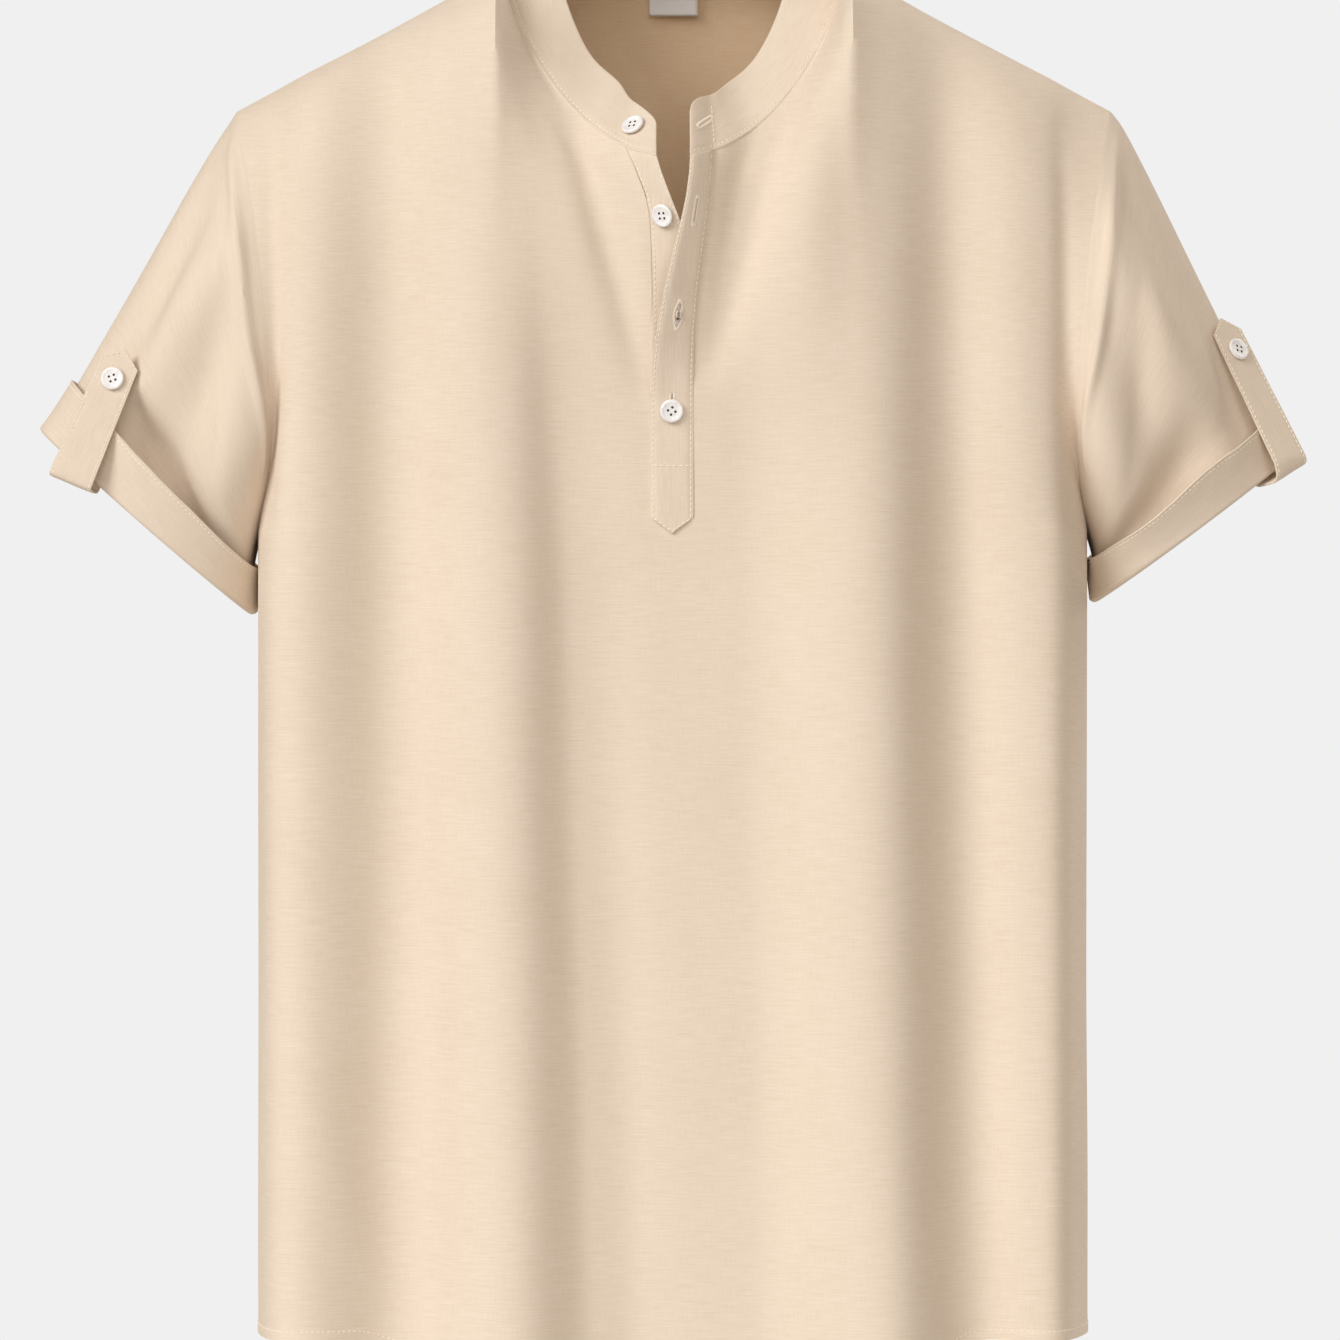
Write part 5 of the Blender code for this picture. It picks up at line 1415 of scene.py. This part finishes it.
# Buttons of the opening. Columns: name; x and z; the strip it lies on; how far out of it; spin in degrees.
STRIP_BUTTONS = (
    ("button_under", -5.2, -135.0, "right", 0.0, 0.0),
    ("button_behind", 0.5, -185.5, "right", 0.0, 0.0),
    ("button_front", -1.2, -234.0, "left", SEAM + WALL, 35.0),
)
COLLAR_BUTTON_SPIN = 8.0
TAB_BUTTON_SPIN = {"right": 20.0, "left": -15.0}

LABEL_HALF_WIDTH = 13.0
LABEL_DROP = 17.0
LABEL_WALL = 0.6
LABEL_COLUMNS, LABEL_ROWS = 15, 12


def button_mesh():
    """A turned button with a raised rim, a dished face and four holes."""
    mesh = bpy.data.meshes.new("button")
    mesh.from_pydata([(r * MM, 0.0, z * MM) for r, z in BUTTON_PROFILE],
                     [(k, k + 1) for k in range(len(BUTTON_PROFILE) - 1)], [])
    body = link(bpy.data.objects.new("button_body", mesh))
    turn = body.modifiers.new("Turn", "SCREW")
    turn.axis = "Z"
    turn.steps = turn.render_steps = BUTTON_STEPS
    turn.use_merge_vertices = True
    turn.merge_threshold = 0.00001
    cutters = []
    for x, y in ((1, 1), (1, -1), (-1, 1), (-1, -1)):
        place = (x * HOLE_PLACE * MM, y * HOLE_PLACE * MM, CUTTER_Z)
        bpy.ops.mesh.primitive_cylinder_add(vertices=20, radius=HOLE_RADIUS * MM, depth=CUTTER_LENGTH,
                                            location=place)
        cutter = bpy.context.object
        cutters.append(cutter)
        cut = body.modifiers.new("Hole", "BOOLEAN")
        cut.operation = "DIFFERENCE"
        cut.object = cutter
    graph = bpy.context.evaluated_depsgraph_get()
    made = bpy.data.meshes.new_from_object(body.evaluated_get(graph))
    for old in [body] + cutters:
        bpy.data.objects.remove(old, do_unlink=True)
    made.shade_smooth()
    made.set_sharp_from_angle(angle=math.radians(40.0))
    made.materials.clear()
    made.materials.append(PEARL)
    return made


def place_button(mesh, name, place, outward, spin):
    """Lay a button on its cloth at a place, facing outward, turned by spin degrees."""
    made = link(bpy.data.objects.new(name + "_shown", mesh))
    outward = Vector(outward)
    turn = outward.to_track_quat("Z", "Y").to_matrix().to_4x4()
    made.matrix_world = (Matrix.Translation(Vector(place) * MM + outward * SEAM * MM) @ turn
                         @ Matrix.Rotation(math.radians(spin), 4, "Z"))
    dress(made, name)


def strip_spot(x, z, side, out):
    """Place and outward direction of a button on a placket strip."""
    step = 2.0
    wide = front_at(x + step, z, side, out) - front_at(x - step, z, side, out)
    tall = front_at(x, z + step, side, out) - front_at(x, z - step, side, out)
    return front_at(x, z, side, out + 0.25), unit(np.cross(wide, tall))


def collar_spot(collar):
    """Place and outward direction of the collar's button."""
    station, share, step = *COLLAR_BUTTON, 2.0
    along = collar.point(station + step, share) - collar.point(station - step, share)
    up = collar.point(station, share + 0.1) - collar.point(station, share - 0.1)
    outward = unit(np.cross(up, along))
    return collar.point(station, share) + outward * 0.5, outward


def tab_spot(tab):
    """Place and outward direction of a tab's button."""
    height, step = tab.rise - tab.button, 6.0
    along = tab.outer(height + step, 0.0) - tab.outer(height - step, 0.0)
    return tab.outer(height, 0.0), unit(np.cross(tab.across, along)) * tab.sleeve.side


def make_label():
    """A blank tape that hangs inside the back, from its neckline."""
    grid = []
    for z in NECK_BACK_Z - 1.0 - LABEL_DROP * np.arange(LABEL_ROWS) / (LABEL_ROWS - 1):
        row = []
        for c in range(LABEL_COLUMNS):
            x = LABEL_HALF_WIDTH * (2.0 * c / (LABEL_COLUMNS - 1) - 1.0)
            back_y = BACK.point(x, BACK.row_at(x, z))[1]
            row.append(np.array([x, back_y - 2 * (WALL + SEAM) - LABEL_WALL, z]))
        grid.append(row)
    cloth = Cloth(grid)
    made = shell("label", cloth, lambda r, c: (cloth.points[r, c, 0] * MM, cloth.points[r, c, 2] * MM),
                 TAPE, LABEL_WALL)
    dress(made, "label")


# ---------------------------------------------------------------- stage


def make_stage():
    """The camera at the photograph's angle, the studio's light and a pale floor well below the shirt."""
    scene = bpy.context.scene
    scene.view_settings.view_transform = "Standard"
    data = bpy.data.cameras.new("camera")
    data.sensor_width = SENSOR
    data.lens = FOCAL_LENGTH / PHOTO_SIDE * SENSOR
    camera = link(bpy.data.objects.new("camera", data))
    camera.location = CAMERA_PLACE
    camera.rotation_euler = (math.radians(90.0), 0.0, 0.0)
    scene.camera = camera

    world = bpy.data.worlds.new("studio")
    world.use_nodes = True
    scene.world = world
    tree = world.node_tree
    shown = node(tree, "LightPath").outputs["Is Camera Ray"]
    tree.links.new(mixed(tree, shown, AMBIENT, BACKGROUND), tree.nodes["Background"].inputs["Color"])

    for name, strength, azimuth, height, softness in LIGHTS:
        light = bpy.data.lights.new(name, "SUN")
        light.energy = strength
        light.angle = math.radians(softness)
        lamp = link(bpy.data.objects.new(name, light))
        lamp.rotation_euler = (math.radians(90.0 - height), 0.0, -math.radians(azimuth))

    floor = bpy.data.meshes.new("floor")
    ring = [(FLOOR_RADIUS * math.cos(a), FLOOR_RADIUS * math.sin(a), FLOOR_Z)
            for a in np.linspace(0.0, 2 * math.pi, FLOOR_SIDES, endpoint=False)]
    floor.from_pydata(ring, [], [tuple(range(FLOOR_SIDES))])
    finish, tree, shader = new_material("floor", 0.9)
    place = node(tree, "TexCoord").outputs["Object"]
    speck = node(tree, "TexNoise", {"Vector": place, "Scale": 3.0})
    tone = node(tree, "MapRange", {"Value": speck.outputs[0], "To Min": 0.99, "To Max": 1.01})
    colour = node(tree, "VectorMath", {0: FLOOR_COLOUR, "Scale": tone.outputs[0]}, operation="SCALE")
    finish_with(tree, shader, colour.outputs[0])
    floor.materials.append(finish)
    link(bpy.data.objects.new("floor", floor))


# ---------------------------------------------------------------- shirt


def make_shirt():
    """Make every piece of the shirt."""
    make_front()
    make_back()
    collar = Collar()
    make_collar(collar)
    make_top_strip()
    make_under_strip()
    button = button_mesh()
    for name, spin in TAB_BUTTON_SPIN.items():
        sleeve = Sleeve(name)
        make_sleeve(sleeve, name)
        tab = Tab(sleeve, name)
        make_tab(tab, name)
        place_button(button, "button_tab_" + name, *tab_spot(tab), spin)
    place_button(button, "button_collar", *collar_spot(collar), COLLAR_BUTTON_SPIN)
    for name, x, z, side, out, spin in STRIP_BUTTONS:
        place_button(button, name, *strip_spot(x, z, side, out), spin)
    make_label()


make_stage()
make_shirt()
